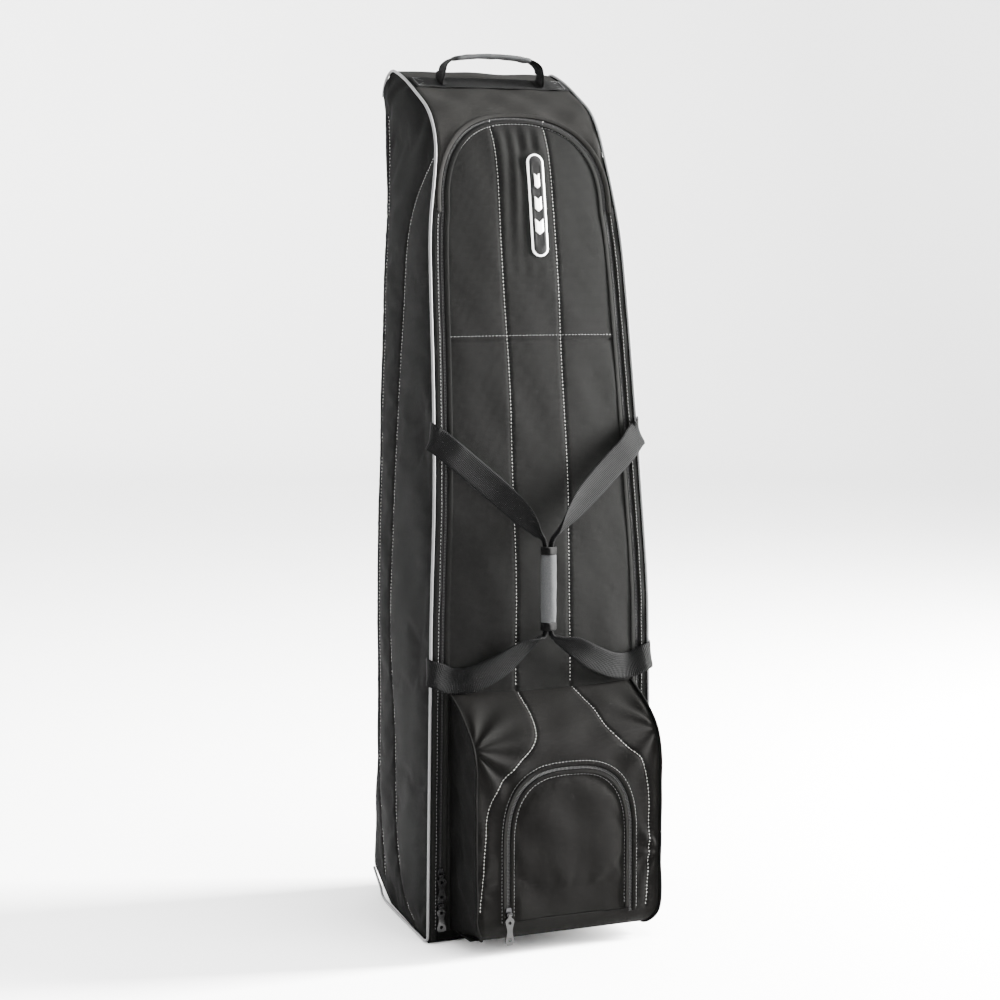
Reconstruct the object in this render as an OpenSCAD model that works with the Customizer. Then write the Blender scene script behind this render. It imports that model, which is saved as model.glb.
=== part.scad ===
// Wheeled golf travel case, standing on its base.
// Frame: +Z up, -Y is the front (lid side), origin on the floor under the middle of the base.

/* [Body] */
// Height of the rear top edge above the floor
body_h = 1270; // [1200:5:1330]
// Width across the piping at the base
base_w = 358; // [330:2:380]
// Depth from the back panel to the lid at the base
body_d = 295; // [270:1:310]
// Thickness of the sewn side panels
side_t = 4; // [3:0.5:6]
// Thickness of the padded hood, lid and head flap
lid_t = 5; // [4:0.5:6]
// Height of the seam where the padded head flap folds
seam_z = 873; // [850:1:890]

/* [Zips] */
// Distance from the piping to the middle of the main zip
zip_inset = 17; // [16:0.5:20]
// Width of one zip tape outside its panel
tape_w = 4.7; // [4:0.1:5]
// Height of the arch of the main zip
arch_top = 1194; // [1185:1:1200]
// Length of the two main zip pulls
pull_len = 38; // [34:1:40]
// Length of the pocket's zip pull
pocket_pull_len = 44; // [36:1:46]

/* [Pocket] */
// Width of the front pocket
pocket_w = 292; // [280:2:300]
// Depth of the front pocket
pocket_d = 101; // [85:1:110]
// Height of the pocket's top seam
pocket_top = 368; // [355:1:375]
// Width of the pocket's domed door
door_w = 194; // [170:2:200]
// Height of the top of the domed door
door_top = 265; // [250:1:268]

/* [Carrying] */
// Width of the webbing
webbing_w = 38; // [30:1:40]
// Length of the haul grip
grip_len = 122; // [110:1:130]
// Distance between the legs of the top handle
handle_span = 164; // [150:2:180]

/* [Wheels] */
// Radius of a wheel
wheel_r = 35.5; // [33:0.5:36]
// Width of a wheel
wheel_w = 24; // [22:1:26]
// Distance between the middles of the two wheels
wheel_track = 190; // [180:2:200]
// Radius of a wheel axle
axle_r = 4; // [3.5:0.1:4.5]

/* [Hidden] */

fabric = [0.13, 0.13, 0.13];
side_fabric = [0.09, 0.095, 0.095];
webbing = [0.08, 0.08, 0.085];
silver = [0.72, 0.72, 0.74];
grey = [0.5, 0.5, 0.5];
zip_black = [0.05, 0.05, 0.05];
moulded = [0.07, 0.07, 0.07];
steel = [0.7, 0.7, 0.72];
foam = [0.25, 0.25, 0.27];
urethane = [0.15, 0.15, 0.16];

gap = 0.3;
back_y = 130;
front_y = back_y - body_d;
straight_z = 480;       // the lid is flat and upright up to this height
crown_r = 42;           // radius of the rear top edge
chamfer_y = 62;         // where the sloped rear of the base starts on the floor
chamfer_z = 45;         // where it meets the back
base_wall_z = 160;      // top of the moulded base at the back
base_t = 4;
arch_spring = 1060;
arch_power = 2.4;
door_power = 2.8;
door_spring = 150;

// Curves -------------------------------------------------------------------

function catmull(a, b, c, d, t) =
    0.5 * (2 * b + (c - a) * t + (2 * a - 5 * b + 4 * c - d) * t * t
        + (3 * b - 3 * c + d - a) * t * t * t);

// A smooth line through all the points but the first and the last, which only steer it.
function spline(p, n) = concat(
    [for (i = [1 : len(p) - 3]) for (j = [0 : n - 1])
        catmull(p[i - 1], p[i], p[i + 1], p[i + 2], j / n)],
    [p[len(p) - 2]]);

function reversed(p) = [for (i = [len(p) - 1 : -1 : 0]) p[i]];
function unit(v) = v / norm(v);

// Side outline of the front and top as [depth share, height share] from the back and the floor.
front_shares = [
    [1, 0.2], [1, 0.378], [0.975, 0.504], [0.92, 0.63], [0.857, 0.74], [0.8, 0.83],
    [0.766, 0.882], [0.712, 0.921], [0.617, 0.949], [0.458, 0.970], [0.298, 0.988],
    [0.142, 1], [0, 1.006]
];
front_curve = spline(
    [for (s = front_shares) [back_y - s.x * body_d, s.y * body_h]], 3);
crown_start = front_curve[len(front_curve) - 1];
crown_arc = [for (a = [75 : -15 : 0])
    [back_y - crown_r + crown_r * cos(a), body_h - crown_r + crown_r * sin(a)]];
front_path = concat([[front_y, 0]], front_curve);
hood_path = concat(front_path, crown_arc);

// Half widths as [height, half width].
base_hw = base_w / 2;
width_points = [
    [240, base_hw - 3.5], [straight_z, base_hw - 7], [640, base_hw - 15],
    [800, base_hw - 21], [940, base_hw - 25], [1030, base_hw - 29],
    [1090, base_hw - 38], [1150, base_hw - 47.5], [1200, base_hw - 49.5],
    [body_h, base_hw - 50], [1340, base_hw - 50]
];
width_table = concat([[0, base_hw]], spline(width_points, 3));
rear_table = spline([
    [-100, 152], [0, 152], [320, 156], [640, 151], [940, 141], [1180, 130], [body_h + 5, 129],
    [1340, 129]], 3);
front_table = [for (p = front_path) [p.y, p.x]];

function half_w(z) = lookup(z, width_table);
function rear_w(z) = lookup(z, rear_table);
function front_at(z) = lookup(z, front_table);
function back_at(z) =
    z < chamfer_z ? chamfer_y + (back_y - chamfer_y) * z / chamfer_z
    : z > body_h - crown_r ? back_y - crown_r
        + sqrt(crown_r * crown_r - pow(z - body_h + crown_r, 2))
    : back_y;
// Radius of the rear upright corners.
function corner_at(z) = lookup(z, [[0, 6], [60, 6], [220, 34], [1060, 34], [1200, 7], [1225, 4.2]]);

// Line offset to its right, which is inwards on a path that climbs the front.
function normal_at(p, i) =
    let (t = unit(p[min(i + 1, len(p) - 1)] - p[max(i - 1, 0)])) [t.y, -t.x];
function inward(p, d) = [for (i = [0 : len(p) - 1]) p[i] + d * normal_at(p, i)];

// Superellipse arch of half width a and rise b standing at height z0, from right to left.
function arch(a, b, z0, power) = [for (s = [0 : 7.5 : 180])
    [a * sign(cos(s)) * pow(abs(cos(s)), 2 / power), z0 + b * pow(sin(s), 2 / power)]];

// Helpers ------------------------------------------------------------------

// A side view outline [y, z] made into a solid that is 2 * half wide in X.
module across(outline, half) {
    translate([-half, 0, 0]) rotate([90, 0, 90]) linear_extrude(2 * half) polygon(outline);
}

// A front view outline [x, z] made into a solid from depth y0 to y1.
module through(outline, y0, y1) {
    translate([0, y1, 0]) rotate([90, 0, 0]) linear_extrude(y1 - y0) polygon(outline);
}

module slab(low, high) {
    translate(low) cube(high - low);
}

// A sheet that follows a side view path, from depth d0 to d1 under its surface.
module sheet(path, d0, d1) {
    across(concat(inward(path, d0), reversed(inward(path, d1))), base_hw + 20);
}

// Joins closed rings of the same number of points into one solid.
module skin(rings) {
    n = len(rings[0]);
    last = len(rings) - 1;
    polyhedron(
        points = [for (r = rings) for (p = r) p],
        faces = concat(
            [[for (i = [n - 1 : -1 : 0]) i]],
            [for (k = [0 : last - 1]) for (i = [0 : n - 1])
                let (a = k * n + i, b = k * n + (i + 1) % n) each
                    [[a, b, b + n], [a, b + n, a + n]]],
            [[for (i = [0 : n - 1]) last * n + i]]),
        convexity = 6);
}

// Four-cornered section round a point: half sizes along the two given directions.
function section(p, u, hu, v, hv) = [
    p - hu * u - hv * v, p + hu * u - hv * v, p + hu * u + hv * v, p - hu * u + hv * v];

module cylinder_x(r, x0, x1, fn = 64) {
    translate([x0, 0, 0]) rotate([0, 90, 0]) cylinder(r = r, h = x1 - x0, $fn = fn);
}

// Front outlines -----------------------------------------------------------

outline_zs = [for (r = width_table) r.x];

function body_outline(inset, z0, z1) =
    let (zs = concat([z0], [for (z = outline_zs) if (z > z0 + 1 && z < z1 - 1) z], [z1]))
    concat([for (z = zs) [half_w(z) - inset, z]],
        [for (z = reversed(zs)) [-half_w(z) + inset, z]]);

// Area inside the main zip, drawn in from the piping by inset.
function lid_outline(inset, z0 = 18) =
    let (zs = concat([z0], [for (z = outline_zs) if (z > z0 + 1 && z < arch_spring - 8) z]))
    concat([for (z = zs) [half_w(z) - inset, z]],
        arch(half_w(arch_spring) - inset, arch_top - arch_spring + zip_inset - inset,
            arch_spring, arch_power),
        [for (z = reversed(zs)) [-half_w(z) + inset, z]]);

// Area inside the pocket door's zip, drawn in by inset.
function door_outline(inset, z0) = concat(
    [[door_w / 2 - inset, z0]],
    arch(door_w / 2 - inset, door_top - door_spring - inset, door_spring, door_power),
    [[-door_w / 2 + inset, z0]]);

lid_bottom = 18;
far = 400;

// Body panels --------------------------------------------------------------

side_zs = concat([0, 15, 30, 45, 100, 160, 220, 340], [for (p = front_curve) if (p.y < body_h - 3) p.y]);

function side_ring(z) = let (
        w = half_w(z), wr = rear_w(z), r = corner_at(z), yf = front_at(z), yb = back_at(z),
        arc = [for (a = [180 : -30 : 90]) [cos(a), sin(a)]])
    concat(
        [[-w, yf, z]],
        [for (c = arc) [-wr + r + r * c.x, yb - r + r * c.y, z]],
        [for (c = reversed(arc)) [-wr + r + (r - side_t) * c.x, yb - r + (r - side_t) * c.y, z]],
        [[-w + side_t, yf, z]]);

module side_panel() {
    color(side_fabric) skin([for (z = side_zs) side_ring(z)]);
}

module back_panel() {
    zs = [base_wall_z + gap, 220, 320, 480, 640, 800, 940, 1060, 1130, 1180, body_h - crown_r - gap];
    half = [for (z = zs) [rear_w(z) - corner_at(z) - gap, z]];
    color(fabric) through(concat(half, reversed([for (p = half) [-p.x, p.y]])), back_y - 6, back_y);
}

module front_gusset() {
    color(fabric) intersection() {
        sheet(front_path, 0, lid_t);
        difference() {
            through(body_outline(side_t + 0.5, 8, arch_spring), -far, far);
            through(lid_outline(zip_inset - tape_w - gap, 0), -far - 1, far + 1);
        }
        slab([-far, -far, 0], [0, far, body_h]);
    }
}

hood_seam_z = 1240;      // the hood ends here, under the top webbing

module hood_panel() {
    color(fabric) intersection() {
        sheet(front_path, 0, lid_t);
        difference() {
            through(body_outline(side_t + 0.5, arch_spring + gap, hood_seam_z), -far, far);
            through(lid_outline(zip_inset - tape_w - gap, 0), -far - 1, far + 1);
        }
    }
}

back_top_hw = rear_w(body_h - crown_r) - corner_at(body_h - crown_r) - gap;

module top_panel() {
    color(fabric) intersection() {
        sheet(hood_path, 0, lid_t);
        union() {
            through(body_outline(side_t + 0.5, hood_seam_z + gap, body_h + 10), -far, far);
            slab([-back_top_hw, 100, body_h - crown_r], [back_top_hw, far, hood_seam_z + 1]);
        }
    }
}

module lid_panel() {
    color(fabric) intersection() {
        sheet(front_path, 0, lid_t);
        through(lid_outline(zip_inset + tape_w + gap, lid_bottom), -far, far);
        slab([-far, -far, 0], [far, far, seam_z - 0.5]);
    }
}

module head_flap() {
    color(fabric) intersection() {
        sheet(front_path, 0, lid_t);
        through(lid_outline(zip_inset + tape_w + gap, lid_bottom), -far, far);
        slab([-far, -far, seam_z + 0.5], [far, far, body_h]);
    }
}

module head_flap_pad() {
    color(foam) intersection() {
        sheet(front_path, lid_t + gap, lid_t + 12);
        through(lid_outline(zip_inset + tape_w + 14, lid_bottom), -far, far);
        slab([-far, -far, seam_z + 14], [far, far, body_h]);
    }
}

// One side of the main zip: tape and teeth between two insets, a little below the surface.
module zip_tape(inset0, inset1, z0, z1) {
    color(zip_black) intersection() {
        sheet(front_path, 0.8, 3);
        difference() {
            through(lid_outline(inset0, z0), -far, far);
            through(lid_outline(inset1, z0 - 10), -far - 1, far + 1);
        }
        slab([-far, -far, z0], [far, far, z1]);
    }
}

module main_zip_outer() {
    zip_tape(zip_inset - tape_w, zip_inset - gap, lid_bottom, body_h);
}

module main_zip_lid() {
    zip_tape(zip_inset + gap, zip_inset + tape_w, lid_bottom, seam_z - 0.5);
}

module head_flap_zip() {
    zip_tape(zip_inset + gap, zip_inset + tape_w, seam_z + 0.5, body_h);
}

badge_x = 17;
badge_z = 1066;
badge_len = 150;
badge_w = 26;

module badge() {
    color("white") intersection() {
        sheet(front_path, -1.2, -0.1);
        translate([badge_x, 0, badge_z]) rotate([90, 0, 0]) linear_extrude(2 * far, center = true)
            union() {
                square([badge_w, badge_len - badge_w], center = true);
                for (s = [-1, 1]) translate([0, s * (badge_len - badge_w) / 2])
                    circle(d = badge_w, $fn = 48);
            }
    }
}

// Piping cord round the side panel: up the back of the chamfer, along the floor, up the front
// and over the top.
piping_r = 2.6;
piping_out = piping_r + 0.4;

function piping_xz(p, z) = [-half_w(z) - 1.2, p.x, p.y];

piping_side = concat(
    [[-rear_w(40) - 1.2, back_at(42) + 2, 42], [-rear_w(20) - 2.4, back_at(22) + 2, 19],
        [-rear_w(0) - 6, chamfer_y, piping_out],
        [-half_w(0) + 1.2, front_y + 40, piping_out],
        [-half_w(0) - 2.2, front_y + 8, piping_out]],
    [for (i = [0 : len(front_path) - 1])
        let (q = inward(front_path, -piping_out)[i], z = max(q.y, 10))
        [-half_w(z) - 1.2, q.x, z]],
    [for (q = inward(crown_arc, -piping_out)) [-half_w(body_h) - 1.2, q.x, q.y]]);

function ring_frame(p, i) =
    let (t = unit(p[min(i + 1, len(p) - 1)] - p[max(i - 1, 0)]),
        u = unit(cross(t, [1, 0, 0.02])))
    [u, cross(t, u)];

module tube(path, r, sides) {
    skin([for (i = [0 : len(path) - 1]) let (f = ring_frame(path, i))
        [for (a = [0 : 360 / sides : 359]) path[i] + r * (cos(a) * f[0] + sin(a) * f[1])]]);
}

module piping() {
    color(silver) tube(piping_side, piping_r, 8);
}

// Zip sliders and pulls -----------------------------------------------------

slider_len = 17;
slider_w = 9;
slider_h = 2.6;
bridge_r = 1.1;
bridge_out = 5.6;        // distance of the cross bar from the zip's surface

// Slider standing on a surface at y = 0 and pointing up, its cross bar at the origin's height.
module slider() {
    color(steel) {
        difference() {
            translate([0, -0.4, 0]) rotate([90, 0, 0]) linear_extrude(slider_h) polygon([
                [-slider_w / 2, 3], [-2.6, -8], [2.6, -8], [slider_w / 2, 3],
                [slider_w / 2 - 1, slider_len - 8], [-slider_w / 2 + 1, slider_len - 8]]);
        }
        for (s = [-1, 1]) translate([s * 3.4 - 0.7, -bridge_out - bridge_r, -1.6])
            cube([1.4, bridge_out - slider_h + bridge_r - 0.2, 3.2]);
        translate([0, -bridge_out, 0]) cylinder_x(bridge_r, -3.6, 3.6, 24);
    }
}

// Right edge of a pull: a narrow neck, a waist in the middle and a rounded end.
function pull_edge(length) = concat(
    [[2.3, 0], [2.5, -4]],
    [for (s = [0.16 : 0.06 : 0.94])
        [5.6 - 1.5 * cos(360 * (s - 0.55) / 0.78) * (s > 0.2 ? 1 : 0.2), -s * length]],
    [[4, -length]]);

// Moulded pull hanging from the cross bar, with its long grip and a finger hole.
module pull(length) {
    eye_r = bridge_r + 1.5;
    color(moulded) translate([0, -bridge_out, 0]) difference() {
        union() {
            cylinder_x(eye_r, -2.3, 2.3, 32);
            translate([0, 1, 0]) rotate([90, 0, 0]) linear_extrude(2)
                polygon(concat(pull_edge(length), reversed([for (p = pull_edge(length)) [-p.x, p.y]])));
        }
        cylinder_x(bridge_r + 0.3, -5, 5, 24);
        for (z = [-0.27, -0.83] * length) translate([0, 5, z]) rotate([90, 0, 0])
            cylinder(r = 2.6, h = 10, $fn = 24);
    }
}

upper_slider_z = 101;
lower_slider_z = 56;
pocket_front = front_y - pocket_d;
pocket_slider_z = 62;
door_fold_z = 76;        // the door folds here, above its parked slider

module at_main_slider(z) {
    translate([-(half_w(z) - zip_inset), front_y - 0.1, z]) children();
}

module at_pocket_slider() {
    translate([-door_w / 2, pocket_front - 0.1, pocket_slider_z]) children();
}

// Pocket -------------------------------------------------------------------

pocket_t = 3;
pocket_hw = pocket_w / 2;
pocket_floor = 20;
pocket_path = concat(
    [[front_y - 16, pocket_floor], [pocket_front + 26, pocket_floor]],
    [for (a = [255 : -15 : 195]) [pocket_front + 26 + 26 * cos(a), pocket_floor + 26 + 26 * sin(a)]],
    [[pocket_front, pocket_floor + 26], [pocket_front, door_top + 8]],
    spline([[pocket_front, 200], [pocket_front + 1.5, 285], [pocket_front + 14, 311],
        [pocket_front + 45, 337], [front_y - 22, pocket_top - 12], [front_y - 0.6, pocket_top],
        [front_y + 40, pocket_top + 10]], 3));
face_path = [for (p = pocket_path) if (p.x < pocket_front + 30 || p.y > 100) p];

module pocket_sheet(path, d0, d1, half) {
    across(concat(inward(path, d0), reversed(inward(path, d1))), half);
}

module pocket_side() {
    inner = inward(pocket_path, 0);
    translate([-pocket_hw + pocket_t / 2, 0, 0]) across(
        concat([[front_y - 0.6, pocket_floor]], inner), pocket_t / 2);
}

module pocket_gusset() {
    color(fabric) {
        pocket_side();
        mirror([1, 0, 0]) pocket_side();
        slab([-pocket_hw + pocket_t, pocket_front + 26, pocket_floor],
            [pocket_hw - pocket_t, front_y - 0.6, pocket_floor + pocket_t]);
    }
}

module pocket_face() {
    color(fabric) difference() {
        pocket_sheet([for (p = face_path) if (p.y > pocket_floor + 1 || p.x < pocket_front + 25) p],
            0, pocket_t, pocket_hw - pocket_t - gap);
        difference() {
            through(door_outline(-tape_w - gap, zip_foot), -far, front_y - 30);
            slab([-door_w / 2 + tape_w + gap, -far, 0],
                [door_w / 2 - tape_w - gap, far, door_fold_z - 0.5]);
        }
        slab([-far, front_y - 60, 0], [far, 0, 60]);
        slab([-far, front_y - gap, 0], [far, 0, far]);
    }
}

zip_foot = pocket_floor + 26;

module pocket_zip(inset0, inset1, z0) {
    color(zip_black) difference() {
        through(door_outline(inset0, z0), pocket_front + 0.5, pocket_front + 2.4);
        through(door_outline(inset1, z0 - 10), pocket_front - 5, pocket_front + 10);
    }
}

module pocket_zip_outer() {
    pocket_zip(-tape_w, -gap, zip_foot);
    intersection() {
        pocket_zip(gap, tape_w, zip_foot);
        slab([-far, -far, 0], [far, far, door_fold_z - 0.5]);
    }
}

module pocket_door_zip() {
    pocket_zip(gap, tape_w, door_fold_z + 0.5);
}

module pocket_door() {
    color(fabric) through(door_outline(tape_w + gap, door_fold_z + 0.5),
        pocket_front, pocket_front + pocket_t);
}

// Haul straps --------------------------------------------------------------

strap_t = 2.4;
wrap_r = 10.4;           // inside radius of the grip's wrap
bundle_half = [2.7, 4.8]; // half the thickness and depth of one strap folded inside it
grip_y = front_y - 24;
grip_z = 515;
grip_top = grip_z + grip_len / 2;
grip_bottom = grip_z - grip_len / 2;
strap_high = 737;        // where the strap crosses the piping above the grip
strap_low = 412;         // and below it
strap_off = 7.5;         // the strap's distance in front of the piping corner
strap_side = 6;          // and outside it

// Each row: centre, direction of the width, half width, half thickness. The strap lies flat at
// the corner and turns on edge, folded, into the grip.
function strap_rows() = let (
        high = [-half_w(strap_high) - strap_side, front_at(strap_high) - strap_off, strap_high],
        low = [-half_w(strap_low) - strap_side, front_at(strap_low) - strap_off, strap_low],
        flat = webbing_w / 2, x = -bundle_half.x - 0.8) [
    [high, [0.62, 0, 0.78], flat, strap_t / 2],
    [[-118, grip_y + 21, 695], [0.66, 0, 0.75], flat, strap_t / 2],
    [[-70, grip_y + 9, 653], [0.68, -0.1, 0.73], flat, strap_t / 2],
    [[-34, grip_y + 2, 619], [0.62, -0.45, 0.64], flat * 0.85, strap_t * 0.7],
    [[-16, grip_y, 597], [0.35, -0.86, 0.36], flat * 0.56, 2.2],
    [[x, grip_y, grip_top], [0, -1, 0], bundle_half.y, bundle_half.x],
    [[x, grip_y, grip_z], [0, -1, 0], bundle_half.y, bundle_half.x],
    [[x, grip_y, grip_bottom], [0, -1, 0], bundle_half.y, bundle_half.x],
    [[-16, grip_y, grip_bottom - 14], [-0.3, -0.86, 0.4], flat * 0.56, 2.2],
    [[-38, grip_y + 1, grip_bottom - 24], [-0.4, -0.5, 0.75], flat * 0.85, strap_t * 0.7],
    [[-74, grip_y + 6, grip_bottom - 42], [-0.33, -0.1, 0.92], flat, strap_t / 2],
    [[-122, grip_y + 14, grip_bottom - 51], [0.05, 0, 1], flat, strap_t / 2],
    [low, [0.18, 0, 0.98], flat, strap_t / 2]];

module haul_strap() {
    rows = strap_rows();
    color(webbing) skin([for (i = [0 : len(rows) - 1])
        let (
            along = unit(rows[min(i + 1, len(rows) - 1)][0] - rows[max(i - 1, 0)][0]),
            wide = unit(rows[i][1] - along * (along * rows[i][1])),
            thick = cross(along, wide))
        section(rows[i][0], wide, rows[i][2], thick, rows[i][3])]);
}

// Ends of the haul straps, sewn flat to the side panel just behind the piping.
module haul_tabs() {
    for (z = [strap_high, strap_low]) {
        x = -half_w(z) - gap;
        color(webbing) translate([x - strap_t - 0.9, front_at(z) + 7, z - webbing_w * 0.56])
            cube([strap_t, 17, webbing_w * 1.12]);
    }
}

// Part of a cuff that is open towards the lid, so that it can lift off the right-hand strap.
module cuff(thick, z0, z1) {
    translate([0, grip_y, z0]) linear_extrude(z1 - z0) difference() {
        circle(r = wrap_r + thick, $fn = 64);
        circle(r = wrap_r, $fn = 64);
        polygon([[-30, 0], [0, 0], 30 * [cos(-22), sin(-22)], [30, 30], [-30, 30]]);
    }
}

band_len = 11.6;

module grip_wrap() {
    color(grey) cuff(1.4, grip_bottom + band_len + gap, grip_top - band_len - gap);
}

module grip_bands() {
    color(webbing) for (z = [grip_bottom, grip_top - band_len]) cuff(1.9, z, z + band_len);
}

// Top handle ----------------------------------------------------------------

handle_y = 27;
handle_z = lookup(handle_y, [for (p = front_curve) [p.x, p.y]]);
slope = atan2(
    lookup(handle_y + 15, [for (p = front_curve) [p.x, p.y]])
        - lookup(handle_y - 15, [for (p = front_curve) [p.x, p.y]]), 30);
handle_hw = handle_span / 2;
hinge_h = 18.5;          // the handle turns on this line above the hood
leg_hw = 15;             // half width of the handle's webbing
handle_rise = 25.5;      // from the hinge line to the middle of the grip

// Stands its children on the sloping top, with Z along the surface's normal.
module on_top() {
    translate([0, handle_y, handle_z]) rotate([slope, 0, 0]) children();
}

module at_handle_hinge() {
    on_top() translate([0, 0, hinge_h]) rotate([-slope, 0, 0]) children();
}

module top_webbing() {
    color(webbing) on_top() slab([-123, -webbing_w / 2, 0.9], [123, webbing_w / 2, 3]);
}

module handle_tabs() {
    color(webbing) on_top() for (s = [-1, 1])
        slab([s * handle_hw - 1.2, -leg_hw, 3.3], [s * handle_hw + 1.2, leg_hw, hinge_h + 5]);
}

grip_half = 64;

// Right half of the handle's middle line in the front view, from below the hinge line up and over.
handle_mid = spline([[handle_hw - 3, -30], [handle_hw - 3, -16], [handle_hw - 3.2, 2],
    [handle_hw - 6, 12], [grip_half, 20], [30, handle_rise - 0.7], [0, handle_rise],
    [-30, handle_rise - 0.7]], 3);

// Closed outline of the loop between two distances from its middle line.
function loop_outline(mid, t0, t1) = let (
        outer = inward(mid, -t1), inner = inward(mid, -t0))
    concat(outer, [for (p = reversed(outer)) if (p.x > 1) [-p.x, p.y]],
        [for (p = inner) if (p.x > 1) [-p.x, p.y]], reversed(inner));

module top_handle() {
    color(webbing) at_handle_hinge() intersection() {
        through(loop_outline(handle_mid, -1.2, 1.2), -leg_hw, leg_hw);
        union() {
            cylinder_x(leg_hw, -100, 100);
            slab([-100, -leg_hw, 0], [100, leg_hw, 60]);
        }
    }
}

module top_handle_grip() {
    over = [for (p = handle_mid) if (p.x < grip_half - 4) p];
    color(grey) at_handle_hinge() {
        through(loop_outline(over, 1.5, 3.6), -leg_hw - 1, leg_hw + 1);
        through(loop_outline(over, -3.6, -1.5), -leg_hw - 1, leg_hw + 1);
    }
}

// Base and wheels ------------------------------------------------------------

axle_y = 105;
axle_z = wheel_r + 1.5;
wheel_x = wheel_track / 2;
well_r = wheel_r + 5;
well_hw = wheel_w / 2 + 4;
wall = 3;
nut_room = axle_r + 4;     // radius of the recess round the axle's head and nut
base_path = [[base_wall_z, back_y], [chamfer_z, back_y], [0, chamfer_y], [0, front_y + lid_t + 1]];

function plan_outline(inset) = [
    [half_w(0) - inset, front_y + lid_t + 1], [rear_w(20) - inset, chamfer_y],
    [rear_w(20) - inset - 6, 200], [-rear_w(20) + inset + 6, 200],
    [-rear_w(20) + inset, chamfer_y], [-half_w(0) + inset, front_y + lid_t + 1]];

module at_axle() {
    translate([0, axle_y, axle_z]) children();
}

module base_pan() {
    path = [for (p = base_path) [p.y, p.x]];
    color(moulded) difference() {
        intersection() {
            across(concat(path, reversed(inward(path, base_t))), base_hw);
            translate([0, 0, -1]) linear_extrude(base_wall_z + 2) polygon(plan_outline(side_t + 0.8));
            through([[146, -1], [146, 60], [117, base_wall_z + 1], [-117, base_wall_z + 1],
                [-146, 60], [-146, -1]], chamfer_y - 2, far);
        }
        for (s = [-1, 1]) at_axle() cylinder_x(well_r, s * wheel_x - well_hw, s * wheel_x + well_hw);
        for (s = [0, 1]) mirror([s, 0, 0]) at_axle()
            cylinder_x(nut_room, -wheel_x - well_hw - wall - 4, -wheel_x + well_hw + wall + 9);
    }
    color(moulded) linear_extrude(base_t) polygon([
        [half_w(0) - side_t - 0.8, front_y + lid_t + 1], [rear_w(20) - side_t - 0.8, chamfer_y - 2],
        [-rear_w(20) + side_t + 0.8, chamfer_y - 2], [-half_w(0) + side_t + 0.8, front_y + lid_t + 1]]);
}

// Well for one wheel, open to the rear and the floor, with the axle's holes in its cheeks.
module wheel_housing() {
    inset = base_t + 0.4;
    color(moulded) difference() {
        intersection() {
            translate([-wheel_x, 0, 0]) at_axle()
                cylinder_x(well_r + wall, -well_hw - wall, well_hw + wall);
            across([[-far, base_t + 0.4], [chamfer_y - 1, base_t + 0.4],
                [back_y - inset, chamfer_z + 1.5], [back_y - inset, far], [-far, far]], far);
        }
        translate([-wheel_x, 0, 0]) at_axle() cylinder_x(well_r, -well_hw, well_hw);
        translate([-wheel_x, 0, 0]) at_axle() cylinder_x(axle_r + 0.05, -far, far);
    }
}

module wheel_tyre() {
    h = wheel_w / 2;
    color(urethane) translate([-wheel_x, 0, 0]) at_axle() rotate([0, 90, 0])
        rotate_extrude($fn = 96) polygon(concat(
            [[24, -h + 1.5], [wheel_r - 7, -h]],
            [for (a = [-75 : 15 : 75]) [wheel_r - 7 + 7 * cos(a), h * sin(a)]],
            [[wheel_r - 7, h], [24, h - 1.5]]));
}

module wheel_hub() {
    color(grey) translate([-wheel_x, 0, 0]) at_axle() difference() {
        cylinder_x(23.95, -wheel_w / 2 + 1, wheel_w / 2 - 1);
        cylinder_x(9, -20, 20);
        for (s = [-1, 1]) translate([s * wheel_w / 2, 0, 0]) cylinder_x(11, -8, 8);
        for (a = [0 : 60 : 300]) rotate([a, 0, 0]) translate([0, 17.5, 0]) cylinder_x(3.4, -20, 20, 32);
    }
}

module bearings() {
    color(steel) for (s = [-1, 1]) translate([-wheel_x + s * 7.9 - 3.5, 0, 0]) at_axle() difference() {
        cylinder_x(10.96, 0, 7);
        cylinder_x(axle_r + 0.05, -1, 8);
    }
}

module axle() {
    color(steel) translate([-wheel_x, 0, 0]) at_axle() {
        cylinder_x(axle_r, -well_hw - wall - 3, well_hw + wall + 8);
        cylinder_x(axle_r + 3.2, -well_hw - wall - 3.5, -well_hw - wall - 0.2);
    }
}

module axle_spacer() {
    color(steel) translate([-wheel_x, 0, 0]) at_axle() difference() {
        cylinder_x(6, -4, 4);
        cylinder_x(axle_r + 0.05, -5, 5);
    }
}

module axle_nut() {
    color(steel) translate([-wheel_x, 0, 0]) at_axle() difference() {
        cylinder_x(axle_r + 3.4, well_hw + wall + 0.3, well_hw + wall + 6.5, 6);
        cylinder_x(axle_r + 0.05, 0, far);
    }
}

base_rivet_xs = [-40, 0, 40];

module base_rivets() {
    color(steel) for (x = base_rivet_xs) translate([x, back_y + 0.1, base_wall_z - 14])
        rotate([-90, 0, 0]) cylinder(r = 4.5, h = 2, $fn = 32);
}

// Back -----------------------------------------------------------------------

rail_x = 66;
rail_w = 18;
rail_z0 = 185;
rail_z1 = 905;

module back_board() {
    color(moulded) slab([-96, back_y - 9.5, base_wall_z + 12], [96, back_y - 6.5, 1150]);
}

module skid_rails() {
    color(moulded) for (s = [-1, 1]) translate([s * rail_x, back_y + 6.4, 0]) rotate([90, 0, 0])
        linear_extrude(6) difference() {
            union() {
                translate([-rail_w / 2, rail_z0 + rail_w / 2])
                    square([rail_w, rail_z1 - rail_z0 - rail_w]);
                for (z = [rail_z0 + rail_w / 2, rail_z1 - rail_w / 2])
                    translate([0, z]) circle(d = rail_w, $fn = 48);
            }
            for (z = [rail_z0 + 20 : (rail_z1 - rail_z0 - 40) / 3 : rail_z1 - 19])
                translate([0, z]) circle(r = 2.6, $fn = 24);
        }
}

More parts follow.
